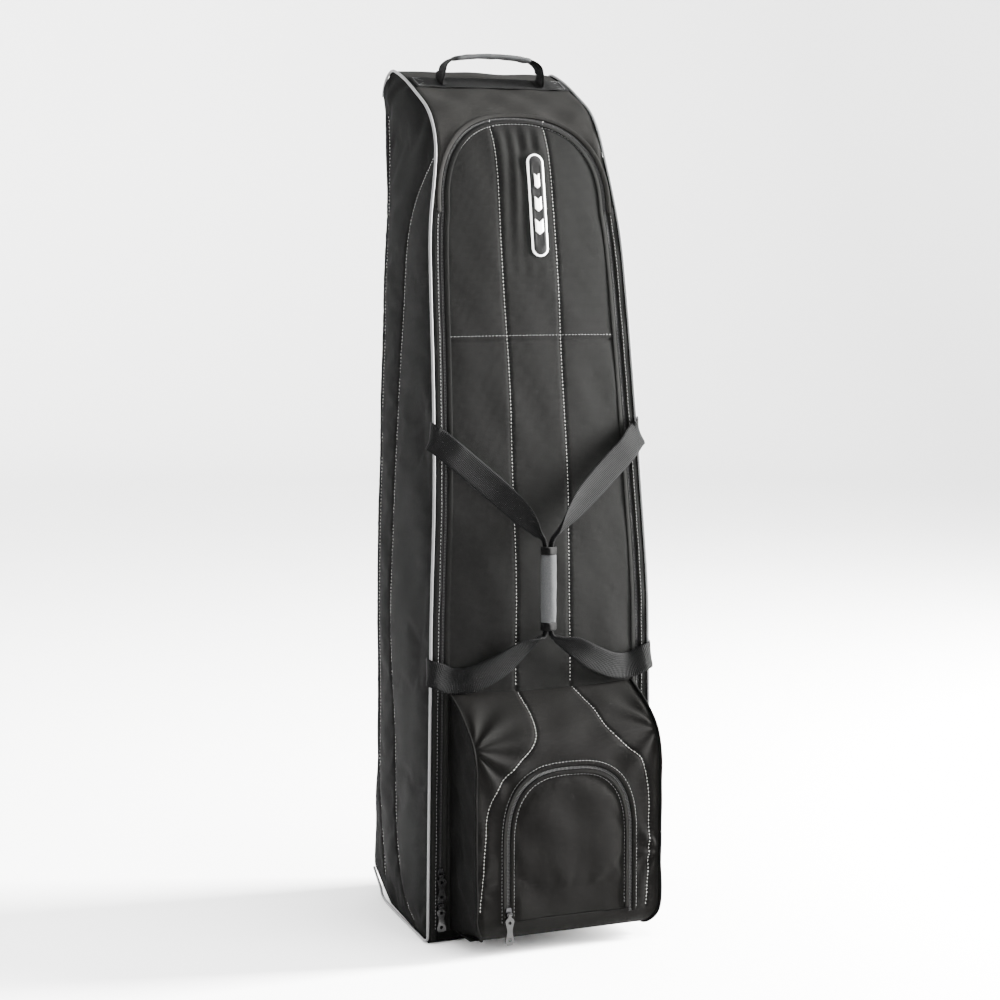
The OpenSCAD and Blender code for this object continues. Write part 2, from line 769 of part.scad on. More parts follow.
module rail_rivets() {
    color(steel) for (s = [-1, 1]) for (z = [rail_z0 + 20 : (rail_z1 - rail_z0 - 40) / 3 : rail_z1 - 19])
        translate([s * rail_x, back_y + 0.2, z]) rotate([-90, 0, 0]) union() {
            cylinder(r = 2.5, h = 7, $fn = 24);
            translate([0, 0, 6.4]) cylinder(r = 4, h = 1.2, $fn = 24);
        }
}

// Strap that holds the golf bag, its two ends sewn to the board and lying flat on it.
module inner_strap(z) {
    color(webbing) for (s = [-1, 1]) translate([s * 55, back_y - 11, z]) cube([76, 2, 25], center = true);
}

// Side-release buckle in the middle of the strap: catch and clip.
module inner_buckle(z) {
    color(moulded) {
        slab([-21.5, back_y - 19, z - 15.5], [-0.3, back_y - 12.3, z + 15.5]);
        slab([0.3, back_y - 19, z - 13.5], [13, back_y - 12.3, z + 13.5]);
        slab([13, back_y - 18, z - 12.5], [21.5, back_y - 12.8, z + 12.5]);
    }
}

inner_high = 930;
inner_low = 470;

module both(side) {
    if (side < 0) children();
    else mirror([1, 0, 0]) children();
}

// Nodes ----------------------------------------------------------------------

back_panel();
side_panel();  // side_panel_left
both(1) side_panel();  // side_panel_right
front_gusset();  // front_gusset_left
both(1) front_gusset();  // front_gusset_right
hood_panel();
top_panel();
lid_panel();
piping();  // piping_left
both(1) piping();  // piping_right
main_zip_outer();
main_zip_lid();
head_flap();
head_flap_pad();
head_flap_zip();
badge();
at_main_slider(upper_slider_z) slider();  // main_slider_upper
at_main_slider(upper_slider_z) pull(pull_len);  // main_pull_upper
at_main_slider(lower_slider_z) slider();  // main_slider_lower
at_main_slider(lower_slider_z) pull(pull_len);  // main_pull_lower
pocket_gusset();
pocket_face();
pocket_zip_outer();
pocket_door();
pocket_door_zip();
at_pocket_slider() slider();  // pocket_slider
at_pocket_slider() pull(pocket_pull_len);  // pocket_pull
haul_strap();  // haul_strap_left
both(1) haul_strap();  // haul_strap_right
haul_tabs();  // haul_tabs_left
both(1) haul_tabs();  // haul_tabs_right
grip_wrap();
grip_bands();
top_webbing();
handle_tabs();
top_handle();
top_handle_grip();
base_pan();
wheel_housing();  // wheel_housing_left
both(1) wheel_housing();  // wheel_housing_right
wheel_tyre();  // wheel_tyre_left
both(1) wheel_tyre();  // wheel_tyre_right
wheel_hub();  // wheel_hub_left
both(1) wheel_hub();  // wheel_hub_right
bearings();  // bearings_left
both(1) bearings();  // bearings_right
axle();  // axle_left
both(1) axle();  // axle_right
axle_spacer();  // axle_spacer_left
both(1) axle_spacer();  // axle_spacer_right
axle_nut();  // axle_nut_left
both(1) axle_nut();  // axle_nut_right
back_board();
skid_rails();
rail_rivets();
inner_strap(inner_high);  // inner_strap_upper
inner_strap(inner_low);  // inner_strap_lower
inner_buckle(inner_high);  // inner_buckle_upper
inner_buckle(inner_low);  // inner_buckle_lower
base_rivets();
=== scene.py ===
import math

import bmesh
import bpy
import numpy as np
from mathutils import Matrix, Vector
from mathutils.bvhtree import BVHTree


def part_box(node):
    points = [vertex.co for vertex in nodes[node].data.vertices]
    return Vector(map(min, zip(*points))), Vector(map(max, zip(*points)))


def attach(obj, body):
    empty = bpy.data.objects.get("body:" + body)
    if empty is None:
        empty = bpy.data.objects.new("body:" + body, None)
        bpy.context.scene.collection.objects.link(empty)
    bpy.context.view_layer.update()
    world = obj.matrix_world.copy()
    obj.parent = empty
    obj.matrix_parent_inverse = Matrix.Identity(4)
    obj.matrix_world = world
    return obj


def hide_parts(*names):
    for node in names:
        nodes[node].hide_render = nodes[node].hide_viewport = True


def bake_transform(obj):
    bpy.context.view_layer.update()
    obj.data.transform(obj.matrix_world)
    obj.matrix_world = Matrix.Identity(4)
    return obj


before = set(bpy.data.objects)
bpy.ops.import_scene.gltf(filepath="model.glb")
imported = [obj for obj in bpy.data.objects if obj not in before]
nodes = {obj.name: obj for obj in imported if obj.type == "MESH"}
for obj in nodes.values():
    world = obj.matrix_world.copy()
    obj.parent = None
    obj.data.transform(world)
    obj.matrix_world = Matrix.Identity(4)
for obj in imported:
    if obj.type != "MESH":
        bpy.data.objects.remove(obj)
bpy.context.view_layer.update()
mm = 0.001
print("frame loaded:", len(nodes), "nodes")

# the case is seen from its left front corner, a little above its middle
studio = {
    "eye": (-1.439, -3.324, 1.006),
    "target": (0.006, 0.0, 0.625),
    "lens": 86.4,
    "radius": 7.0, "bend": 1.5, "wall": 4.2,
    "sky": (1.0, 1.0, 1.0),
    "skyStrength": 2.6,
}


def aimAt(thing, place, target):
    thing.location = place
    thing.rotation_mode = "QUATERNION"
    thing.rotation_quaternion = (Vector(target) - Vector(place)).to_track_quat("-Z", "Y")
    bpy.context.scene.collection.objects.link(thing)


def makeCamera():
    data = bpy.data.cameras.new("mainCamera")
    data.lens = studio["lens"]
    data.sensor_width = 36
    camera = bpy.data.objects.new("mainCamera", data)
    aimAt(camera, studio["eye"], studio["target"])
    bpy.context.scene.camera = camera


def makeLamp(name, place, target, size, power, tint=(1, 1, 1)):
    data = bpy.data.lights.new(name, "AREA")
    data.shape = "RECTANGLE"
    data.size, data.size_y = size
    data.energy = power
    data.color = tint
    aimAt(bpy.data.objects.new(name, data), place, target)


# shader maths: a socket that can be added, scaled and compared
class Signal:
    def __init__(self, shade, socket):
        self.shade = shade
        self.socket = socket

    def using(self, operation, *others):
        values = dict(enumerate([self, *others]))
        return self.shade.add("ShaderNodeMath", {"operation": operation}, values)

    def __add__(self, other):
        return self.using("ADD", other)

    def __sub__(self, other):
        return self.using("SUBTRACT", other)

    def __rsub__(self, other):
        return self.shade.add("ShaderNodeMath", {"operation": "SUBTRACT"}, {0: other, 1: self})

    def __mul__(self, other):
        return self.using("MULTIPLY", other)

    def __truediv__(self, other):
        return self.using("DIVIDE", other)

    def __pow__(self, other):
        return self.using("POWER", other)

    __radd__ = __add__
    __rmul__ = __mul__

    def sine(self):
        return self.using("SINE")

    def size(self):
        return self.using("ABSOLUTE")

    def clipped(self):
        return self.using("MAXIMUM", 0.0).using("MINIMUM", 1.0)


class Shade:
    def __init__(self, name, **constants):
        self.material = bpy.data.materials.new(name)
        self.material.use_nodes = True
        self.tree = self.material.node_tree
        self.surface = self.tree.nodes["Principled BSDF"]
        for socket, value in constants.items():
            self.surface.inputs[socket.replace("_", " ")].default_value = value

    def add(self, kind, settings=None, values=None, out=0):
        node = self.tree.nodes.new(kind)
        for key, value in (settings or {}).items():
            setattr(node, key, value)
        for key, value in (values or {}).items():
            if isinstance(value, Signal):
                self.tree.links.new(value.socket, node.inputs[key])
            else:
                node.inputs[key].default_value = value
        return Signal(self, node.outputs[out])

    def uv(self):
        return self.axes(self.add("ShaderNodeTexCoord", out="UV"), 2)

    def place(self):
        return self.add("ShaderNodeTexCoord", out="Object")

    def axes(self, vector, count):
        return [self.add("ShaderNodeSeparateXYZ", None, {0: vector}, i) for i in range(count)]

    def noise(self, scale, detail=3.0, rough=0.55):
        return self.add("ShaderNodeTexNoise", None, {
            "Vector": self.place(), "Scale": scale, "Detail": detail, "Roughness": rough})

    def mix(self, factor, first, second):
        return self.add("ShaderNodeMix", {"data_type": "RGBA"},
                        {0: factor, 6: (*first, 1), 7: (*second, 1)}, 2)

    def bump(self, height, depth, strength=1.0, under=None):
        values = {"Height": height, "Distance": depth, "Strength": strength}
        if under is not None:
            values["Normal"] = under
        return self.add("ShaderNodeBump", None, values)

    def drive(self, **signals):
        for socket, value in signals.items():
            self.tree.links.new(value.socket, self.surface.inputs[socket.replace("_", " ")])
        return self.material


def ripple(signal, pitch):
    return (signal * (2 * math.pi / pitch)).sine() * 0.5 + 0.5


# woven polyester: two sets of threads, cloudy dye and worn lighter crowns
def wovenCloth(name, dark, light, pitch=1.7 * mm, diagonal=0.0, cloud=9.0, depth=0.0003, rough=0.78):
    shade = Shade(name, Roughness=rough, Specular_IOR_Level=0.02)
    u, v = shade.uv()
    if diagonal:
        u, v = u + v * diagonal, v - u * diagonal
    warp, weft = ripple(u, pitch), ripple(v, pitch)
    weave = 1 - (1 - warp) * (1 - weft)
    clouds = shade.noise(cloud, 4.0)
    fleck = shade.noise(520, 3.0)
    tone = (weave * 0.45 + clouds * 0.3 + (fleck - 0.5) * 1.3 + 0.22).clipped()
    color = shade.mix(tone, dark, light)
    rub = shade.noise(55, 3.0)
    normal = shade.bump(weave, depth, 0.9)
    normal = shade.bump(rub, 0.0006, 0.35, normal)
    return shade.drive(Base_Color=color, Roughness=(0.62 + fleck * 0.3), Normal=normal)


# ribbed strap webbing: cross ribs of pitch rib, with fine threads along it and a firm edge
def ribbedWebbing(name, dark, light, rib=2.3 * mm, width=38 * mm):
    shade = Shade(name, Specular_IOR_Level=0.03)
    u, v = shade.uv()
    ribs = ripple(v, rib)
    threads = ripple(u, 1.3 * mm)
    offset = ripple(u, 2.6 * mm)
    weave = (ribs * 0.65 + threads * offset * 0.35).clipped()
    edge = ((u - width / 2).size() / (width / 2)) ** 14
    fuzz = shade.noise(600, 3.0)
    color = shade.mix((weave * 0.75 + fuzz * 0.3 - edge * 0.35).clipped(), dark, light)
    normal = shade.bump(weave - edge * 0.5, 0.0009, 1.0)
    return shade.drive(Base_Color=color, Roughness=(0.55 + fuzz * 0.3), Normal=normal)


# moulded plastic with a leather-like grain and scuffed high spots
def mouldedPlastic(name, dark, light, rough=0.5, grain=900.0, depth=0.00012, shine=0.12):
    shade = Shade(name, Specular_IOR_Level=shine)
    pits = shade.add("ShaderNodeTexVoronoi", {"feature": "SMOOTH_F1"},
                     {"Vector": shade.place(), "Scale": grain})
    wear = shade.noise(38, 5.0, rough=0.7)
    color = shade.mix((wear * 1.6 - 0.45).clipped(), dark, light)
    normal = shade.bump(pits, depth, 0.8)
    return shade.drive(Base_Color=color, Roughness=(rough - 0.12 + wear * 0.3), Normal=normal)


def glossyPlastic(name, dark, light, rough=0.16, shine=0.25):
    shade = Shade(name, Specular_IOR_Level=shine)
    smear = shade.noise(120, 4.0)
    color = shade.mix(smear, dark, light)
    normal = shade.bump(shade.noise(260, 2.0), 0.0002, 0.3)
    return shade.drive(Base_Color=color, Roughness=(rough + smear * 0.12), Normal=normal)


def brushedMetal(name, dark, light, rough=0.28):
    shade = Shade(name, Metallic=1.0)
    grain = shade.noise(520, 5.0)
    stain = shade.noise(60, 3.0)
    color = shade.mix(stain, dark, light)
    normal = shade.bump(grain, 0.0001, 0.5)
    return shade.drive(Base_Color=color, Roughness=(rough + stain * 0.2), Normal=normal)


def tyreRubber(name):
    shade = Shade(name, Specular_IOR_Level=0.12)
    x, y, z = shade.axes(shade.place(), 3)
    grain = shade.noise(700, 4.0)
    dust = shade.noise(45, 4.0, rough=0.7)
    rings = ripple(x, 2.2 * mm)
    color = shade.mix((dust * 1.3 - 0.35).clipped(), (0.007, 0.007, 0.0075), (0.035, 0.034, 0.032))
    normal = shade.bump(rings * 0.6 + grain * 0.4, 0.0003, 0.7)
    return shade.drive(Base_Color=color, Roughness=(0.5 + dust * 0.35), Normal=normal)


# sewing thread: tight twisted ply
def sewingThread(name, dark, light):
    shade = Shade(name, Roughness=0.6, Sheen_Weight=0.3)
    u, v = shade.uv()
    ply = ripple(u + v * 0.7, 0.5 * mm)
    fuzz = shade.noise(900, 2.0)
    color = shade.mix((ply * 0.6 + fuzz * 0.4).clipped(), dark, light)
    return shade.drive(Base_Color=color, Normal=shade.bump(ply, 0.0002, 0.8))


def quiltedLining(name, dark, light):
    shade = Shade(name, Roughness=0.6, Specular_IOR_Level=0.06)
    x, y, z = shade.axes(shade.place(), 3)
    fine = ripple(x + z, 0.9 * mm) * ripple(x - z, 0.9 * mm)
    clouds = shade.noise(14, 3.0)
    color = shade.mix((fine * 0.5 + clouds * 0.5).clipped(), dark, light)
    return shade.drive(Base_Color=color, Normal=shade.bump(fine, 0.0002, 0.6))


cloth = {
    "front": wovenCloth("frontPolyester", (0.00099, 0.00102, 0.00095), (0.00392, 0.00399, 0.00379)),
    # the hood's copy of the front polyester is painted about twice as light: painted light where the hood
    # faces up to the top lamp
    "hood": wovenCloth("hoodPolyesterPaintedLight", (0.00194, 0.00189, 0.00180), (0.00711, 0.00698, 0.00657)),
    # the side copy of the front polyester is painted about three times darker: painted shade for the sides
    # turned away from the key light, also worn by the base band, pocket ends, pocket floor and pocket binding
    "side": wovenCloth("sidePolyesterPaintedShade", (0.00036, 0.00038, 0.00036), (0.00131, 0.00133, 0.00128)),
    "pocket": wovenCloth("pocketPolyester", (0.00060, 0.00058, 0.00053), (0.00217, 0.00212, 0.00192)),
    "back": wovenCloth("backPolyester", (0.00100, 0.00100, 0.00100), (0.00330, 0.00330, 0.00330)),
    "zip": wovenCloth("zipTape", (0.0011, 0.0011, 0.0011), (0.0036, 0.0036, 0.0036), pitch=0.8 * mm),
    "grip": wovenCloth("gripKnit", (0.01096, 0.01147, 0.01168), (0.02923, 0.02995, 0.03070),
                       pitch=1.4 * mm, diagonal=0.6),
}
webbing = ribbedWebbing("strapWebbing", (0.00052, 0.00052, 0.00057), (0.00405, 0.00420, 0.00420))
handleWebbing = ribbedWebbing("handleWebbing", (0.00084, 0.00084, 0.00084), (0.00516, 0.00516, 0.00528),
                              width=30 * mm)
silverVinyl = glossyPlastic("silverPiping", (0.05250, 0.05250, 0.05381), (0.08662, 0.08662, 0.08794),
                            rough=0.3)
paleThread = sewingThread("paleThread", (0.15600, 0.15600, 0.15000), (0.31200, 0.31200, 0.30000))
blackThread = sewingThread("blackThread", (0.002, 0.002, 0.002), (0.010, 0.010, 0.010))
coilNylon = glossyPlastic("coilNylon", (0.006, 0.006, 0.006), (0.018, 0.018, 0.018), rough=0.35)
blackGloss = glossyPlastic("pullPlastic", (0.0028, 0.0028, 0.0028), (0.0070, 0.0070, 0.0070), rough=0.12)
gunMetal = brushedMetal("blackNickel", (0.0105, 0.0105, 0.0111), (0.0330, 0.0330, 0.0345), rough=0.2)
steel = brushedMetal("zincSteel", (0.30, 0.30, 0.31), (0.50, 0.50, 0.52))
baseMoulding = mouldedPlastic("baseMoulding", (0.00232, 0.00232, 0.00248), (0.00752, 0.00752, 0.00760))
hubPlastic = mouldedPlastic("hubPlastic", (0.02800, 0.02800, 0.02920), (0.05200, 0.05200, 0.05320),
                            rough=0.42)
badgeWhite = glossyPlastic("badgeWhite", (0.62, 0.62, 0.61), (0.74, 0.74, 0.73), rough=0.4)
badgeBlack = mouldedPlastic("badgeBlack", (0.002, 0.002, 0.002), (0.006, 0.006, 0.006), shine=0.05)
lining = quiltedLining("padLining", (0.010, 0.010, 0.011), (0.034, 0.034, 0.036))
tyre = tyreRubber("tyreRubber")
print("materials ready")


# the body's outline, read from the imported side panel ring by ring
def nodePoints(name):
    return np.array([v.co for v in nodes[name].data.vertices], float)


def readBodyOutline():
    points = np.unique(np.round(nodePoints("side_panel_left"), 5), axis=0)
    rows = []
    for z in np.unique(np.round(points[:, 2], 4)):
        ring = points[np.abs(points[:, 2] - z) < 2e-4]
        if len(ring) < 9:
            continue
        edgeY = ring[:, 1].min()
        atEdge = ring[ring[:, 1] < edgeY + 1e-4]
        rest = ring[ring[:, 1] > edgeY + 2e-3]
        rear = ring[ring[:, 1] > ring[:, 1].max() - 1e-4]
        rows.append((z, -atEdge[:, 0].min(), edgeY, -rest[:, 0].min(), ring[:, 1].max(), -rear[:, 0].max()))
    return np.array(rows)


outline = readBodyOutline()
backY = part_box("back_panel")[1].y
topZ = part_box("top_panel")[1].z
crownR = 42 * mm
backTop = topZ - crownR


def smoothed(values, spread):
    reach = int(3 * spread)
    weights = np.exp(-0.5 * (np.arange(-reach, reach + 1) / spread) ** 2)
    padded = np.concatenate([
        2 * values[0] - values[reach:0:-1], values, 2 * values[-1] - values[-2:-reach - 2:-1]])
    return np.convolve(padded, weights / weights.sum(), "valid")


levels = np.arange(0, outline[-1, 0], 4 * mm)
frontWidths = smoothed(np.interp(levels, outline[:, 0], outline[:, 1]), 4)
rearWidths = smoothed(np.interp(levels, outline[:, 0], outline[:, 3]), 4)


def frontHalf(z):
    return np.interp(z, levels, frontWidths)


def rearHalf(z):
    return np.interp(z, levels, rearWidths)


def rearY(z):
    flat = np.interp(z, outline[:, 0], outline[:, 4])
    over = np.clip((z - backTop) / crownR, 0, 1)
    return np.where(z > backTop, backY - crownR + crownR * np.sqrt(1 - over**2), flat)


# how wide the rounded rear corner is
def cornerWidth(z):
    return np.interp(z, outline[:, 0], outline[:, 3] - outline[:, 5])


def cornerR(z):
    return cornerWidth(z) * np.clip((backTop - 0.01 - z) / 0.04, 0, 1)


def smoothLine(points, step=4 * mm, size=None):
    points = np.asarray(points, float)
    size = size or points.shape[1]
    ends = np.concatenate([[2 * points[0] - points[1]], points, [2 * points[-1] - points[-2]]])
    made = []
    for a, b, c, d in zip(ends[:-3], ends[1:-2], ends[2:-1], ends[3:]):
        count = max(2, int(np.linalg.norm((c - b)[:size]) / step))
        t = np.linspace(0, 1, count, endpoint=False)[:, None]
        made.append(0.5 * (2 * b + (c - a) * t + (2 * a - 5 * b + 4 * c - d) * t**2
                           + (3 * b - 3 * c + d - a) * t**3))
    return np.concatenate(made + [points[-1:]])


# how far along a line each of its points is
def lengthsOf(points):
    return np.concatenate([[0], np.cumsum(np.linalg.norm(np.diff(points, axis=0), axis=1))])


def unit(rows):
    return rows / np.linalg.norm(rows, axis=1)[:, None]


def pairs(a, b):
    return np.stack(np.broadcast_arrays(a, b), -1)


def evenLine(points, step):
    points = np.asarray(points, float)
    along = lengthsOf(points)
    spots = np.linspace(0, along[-1], max(2, int(round(along[-1] / step)) + 1))
    return np.stack([np.interp(spots, along, points[:, i]) for i in range(points.shape[1])], 1)


def outwardNormals(line):
    tangent = unit(np.gradient(line, axis=0))
    return np.stack([-tangent[:, 1], tangent[:, 0]], 1)


# the front, top and crown as one smooth line, measured along its length
def makeFrontPath():
    edge = outline[:, [2, 0]]
    turn = np.radians(np.arange(90, -1, -6))
    crown = np.stack([backY - crownR + crownR * np.cos(turn), backTop + crownR * np.sin(turn)], 1)
    line = evenLine(smoothLine(np.concatenate([edge, crown]), 2 * mm), 2 * mm)
    line = np.stack([smoothed(line[:, i], 2.5) for i in range(2)], 1)
    return lengthsOf(line), line


pathS, pathYZ = makeFrontPath()
pathN = outwardNormals(pathYZ)
crest = int(pathYZ[:, 1].argmax())


def alongAt(z):
    return np.interp(z, pathYZ[:crest + 1, 1], pathS[:crest + 1])


def heightAt(s):
    return np.interp(s, pathS, pathYZ[:, 1])


def frontPoint(x, s, out=0.0):
    base = [np.interp(s, pathS, pathYZ[:, i]) for i in range(2)]
    normal = [np.interp(s, pathS, pathN[:, i]) for i in range(2)]
    return np.stack(np.broadcast_arrays(x, base[0] + normal[0] * out, base[1] + normal[1] * out), -1)


def frontY(z):
    return np.interp(z, pathYZ[:crest + 1, 1], pathYZ[:crest + 1, 0])


def slopeAt(s):
    return np.interp(s, pathS, np.gradient(pathYZ[:, 1], pathS))


# mesh making
def makeMesh(name, points, faces, material, uv=None, smooth=True):
    mesh = bpy.data.meshes.new(name)
    mesh.from_pydata(np.asarray(points).reshape(-1, 3).tolist(), [], [tuple(f) for f in faces])
    if uv is not None:
        layer = mesh.uv_layers.new(name="UVMap")
        corner = np.zeros(len(mesh.loops), np.int32)
        mesh.loops.foreach_get("vertex_index", corner)
        layer.data.foreach_set("uv", np.asarray(uv, np.float32).reshape(-1, 2)[corner].ravel())
    if smooth:
        mesh.polygons.foreach_set("use_smooth", [True] * len(mesh.polygons))
    mesh.materials.append(material)
    piece = bpy.data.objects.new(name, mesh)
    bpy.context.scene.collection.objects.link(piece)
    return piece


def gridFaces(rows, cols, keep=None, closed=False):
    faces = []
    for i in range(rows - 1):
        for j in range(cols if closed else cols - 1):
            k = (j + 1) % cols
            cell = (i * cols + j, i * cols + k, (i + 1) * cols + k, (i + 1) * cols + j)
            if keep is not None:
                cell = tuple(c for c in cell if keep[c])
            if len(cell) > 2:
                faces.append(cell)
    return faces


# a closed tube's faces, with both ends capped
def tubeFaces(rows, cols):
    ends = [tuple(range(cols - 1, -1, -1)), tuple(range((rows - 1) * cols, rows * cols))]
    return gridFaces(rows, cols, closed=True) + ends


def turned(faces):
    return [f[::-1] for f in faces]


def addModifier(piece, kind, name, **settings):
    made = piece.modifiers.new(name, kind)
    for key, value in settings.items():
        setattr(made, key, value)
    return made


def applyModifiers(piece):
    graph = bpy.context.evaluated_depsgraph_get()
    baked = bpy.data.meshes.new_from_object(piece.evaluated_get(graph), depsgraph=graph)
    piece.modifiers.clear()
    piece.data = baked


def thicken(piece, thickness):
    addModifier(piece, "SOLIDIFY", "clothThickness", thickness=thickness, offset=-1.0)
    applyModifiers(piece)
    return piece


# drops points that no face uses
def dropLoose(piece):
    used = np.zeros(len(piece.data.vertices), bool)
    corner = np.zeros(len(piece.data.loops), np.int32)
    piece.data.loops.foreach_get("vertex_index", corner)
    used[corner] = True
    work = bmesh.new()
    work.from_mesh(piece.data)
    bmesh.ops.delete(work, geom=[v for v in work.verts if not used[v.index]], context="VERTS")
    work.to_mesh(piece.data)
    work.free()


# moves grid points that are nearly on an edge onto it, and says which points are inside
def fitToEdge(x, z, signed, near):
    for _ in range(4):
        d = signed(x, z)
        e = 0.2 * mm
        gx = (signed(x + e, z) - signed(x - e, z)) / (2 * e)
        gz = (signed(x, z + e) - signed(x, z - e)) / (2 * e)
        size = gx**2 + gz**2 + 1e-9
        pull = np.where(np.abs(d) < near, d, 0)
        x, z = x - pull * gx / size, z - pull * gz / size
    return x, z, signed(x, z) < near * 0.3


def noiseField(seed, waves, low, high):
    rng = np.random.default_rng(seed)
    turn = rng.uniform(0, 2 * math.pi, waves)
    pitch = rng.uniform(low, high, waves)
    shift = rng.uniform(0, 2 * math.pi, waves)

    def field(a, b):
        total = 0
        for t, p, s in zip(turn, pitch, shift):
            total = total + np.sin((a * math.cos(t) + b * math.sin(t)) * 2 * math.pi / p + s)
        return total / math.sqrt(waves)

    return field


def gently(value, low, high):
    t = np.clip((value - low) / (high - low), 0, 1)
    return t * t * (3 - 2 * t)


def polylineDistance(x, z, line):
    best = np.full(np.shape(x), 1e9)
    for (ax, az), (bx, bz) in zip(line[:-1], line[1:]):
        dx, dz = bx - ax, bz - az
        t = np.clip(((x - ax) * dx + (z - az) * dz) / (dx * dx + dz * dz), 0, 1)
        best = np.minimum(best, np.hypot(x - ax - t * dx, z - az - t * dz))
    return best


# copies a small template to many places, each with its own three directions
def placeCopies(name, template, faces, centres, axes, material, smooth=True):
    template = np.asarray(template, float)
    points = np.einsum("vi,nij->nvj", template, axes) + centres[:, None, :]
    count = len(template)
    allFaces = [tuple(i * count + k for k in face) for i in range(len(centres)) for face in faces]
    uv = np.tile(template[:, :2], (len(centres), 1))
    return makeMesh(name, points, allFaces, material, uv, smooth)


def rodTemplate(length, r, sides=6, rows=5, squash=0.7):
    points = []
    for i in range(rows):
        t = -1 + 2 * i / (rows - 1)
        size = r * math.sqrt(max(0.12, 1 - t * t * 0.88))
        for k in range(sides):
            a = 2 * math.pi * k / sides
            points.append((t * length / 2, size * math.cos(a), size * squash * math.sin(a)))
    return points, tubeFaces(rows, sides)


# a row of stitches on a line of points with outward normals
def stitchRow(name, line, normals, material, pitch=5.3 * mm, share=0.56, r=0.44 * mm):
    along = lengthsOf(line)
    spots = np.arange(pitch / 2, along[-1] - pitch / 2, pitch)
    centres = np.stack([np.interp(spots, along, line[:, i]) for i in range(3)], 1)
    ahead = np.stack([np.interp(spots + 0.5 * mm, along, line[:, i]) for i in range(3)], 1)
    t = ahead - centres
    t /= np.linalg.norm(t, axis=1)[:, None] + 1e-12
    n = np.stack([np.interp(spots, along, normals[:, i]) for i in range(3)], 1)
    n = unit(n - t * (n * t).sum(1)[:, None])
    axes = np.stack([t, np.cross(n, t), n], 1)
    template, faces = rodTemplate(pitch * share, r)
    return placeCopies(name, template, faces, centres, axes, material)


# lays a line of points on a finished piece, coming in along their normals
def layOn(piece, line, normals, lift):
    mesh = piece.data
    tree = BVHTree.FromPolygons([v.co for v in mesh.vertices], [tuple(f.vertices) for f in mesh.polygons])
    laid = np.array(line, float)
    for i, (point, normal) in enumerate(zip(line, normals)):
        n = Vector(normal).normalized()
        spot, _, _, _ = tree.ray_cast(Vector(point) + n * 14 * mm, -n, 28 * mm)
        if spot is not None:
            laid[i] = spot + n * lift
    return laid


def joinPieces(name, made):
    with bpy.context.temp_override(active_object=made[0], selected_editable_objects=made,
                                   selected_objects=made):
        bpy.ops.object.join()
    made[0].name = name
    return made[0]


# a round cord swept along points
def sweepCord(name, line, r, material, sides=12):
    line = np.asarray(line, float)
    t = unit(np.gradient(line, axis=0))
    u = unit(np.cross(t, [1.0, 0.03, 0.02]))
    w = np.cross(t, u)
    turn = np.linspace(0, 2 * math.pi, sides, endpoint=False)
    c, s = np.cos(turn)[None, :, None], np.sin(turn)[None, :, None]
    rings = line[:, None] + r * (c * u[:, None] + s * w[:, None])
    uv = pairs(turn[None, :] * r, lengthsOf(line)[:, None])
    return makeMesh(name, rings, tubeFaces(len(line), sides), material, uv)


# cloth simulation that swells a pinned sheet, with how far a point may move held to a cap
def swell(piece, pinned, pressure, cap, extra=0.0, frames=20):
    scene = bpy.context.scene
    group = piece.vertex_groups.new(name="pinned")
    group.add([int(i) for i in np.nonzero(pinned)[0]], 1.0, "REPLACE")
    rest = np.array([v.co for v in piece.data.vertices], float)
    cloth = piece.modifiers.new("swell", "CLOTH")
    cloth.settings.quality = 6
    cloth.settings.mass = 0.25
    cloth.settings.tension_stiffness = 18
    cloth.settings.compression_stiffness = 18
    cloth.settings.shear_stiffness = 8
    cloth.settings.bending_stiffness = 1.2
    cloth.settings.air_damping = 6
    cloth.settings.use_pressure = True
    cloth.settings.uniform_pressure_force = pressure
    cloth.settings.vertex_group_mass = "pinned"
    cloth.settings.shrink_min = -extra
    cloth.settings.effector_weights.gravity = 0
    cloth.point_cache.frame_start = 1
    cloth.point_cache.frame_end = frames
    for step in range(1, frames + 1):
        scene.frame_set(step)
    graph = bpy.context.evaluated_depsgraph_get()
    shape = piece.evaluated_get(graph).data
    moved = np.array([v.co for v in shape.vertices], float) - rest
    size = np.linalg.norm(moved, axis=1)
    held = cap * np.tanh(size / cap)
    moved *= (held / np.maximum(size, 1e-9))[:, None]
    piece.modifiers.remove(cloth)
    scene.frame_set(1)
    piece.data.vertices.foreach_set("co", (rest + moved).astype(np.float32).ravel())
    piece.data.update()
    furthest = float(np.linalg.norm(moved, axis=1).max())
    print("swelled", piece.name, "by up to", round(furthest / mm, 1), "mm")


# cloth panels
# a grid cut to an outline, with its flat place kept as UV
def cutSheet(name, xs, ss, signed, place, material):
    x, s = np.meshgrid(xs, ss)
    x, s, keep = fitToEdge(x, s, signed, 0.62 * (xs[1] - xs[0]))
    faces = gridFaces(len(ss), len(xs), keep.ravel())
    uv = np.stack([x, s], -1)
    piece = makeMesh(name, place(x, s), faces, material, uv)
    dropLoose(piece)
    return piece


def pointUv(piece):
    mesh = piece.data
    corner = np.zeros(len(mesh.loops), np.int32)
    mesh.loops.foreach_get("vertex_index", corner)
    flat = np.zeros(len(mesh.loops) * 2, np.float32)
    mesh.uv_layers.active.data.foreach_get("uv", flat)
    uv = np.zeros((len(mesh.vertices), 2))
    uv[corner] = flat.reshape(-1, 2)
    return uv


# moves every point along its normal by field(u, v)
def reshape(piece, field):
    mesh = piece.data
    count = len(mesh.vertices)
    points = np.zeros(count * 3, np.float32)
    mesh.vertices.foreach_get("co", points)
    normals = np.array([v.normal for v in mesh.vertices], float)
    uv = pointUv(piece)
    moved = points.reshape(-1, 3) + normals * field(uv[:, 0], uv[:, 1])[:, None]
    mesh.vertices.foreach_set("co", moved.astype(np.float32).ravel())
    mesh.update()


def subdivide(piece):
    addModifier(piece, "SUBSURF", "finer", levels=1, render_levels=1)
    applyModifiers(piece)


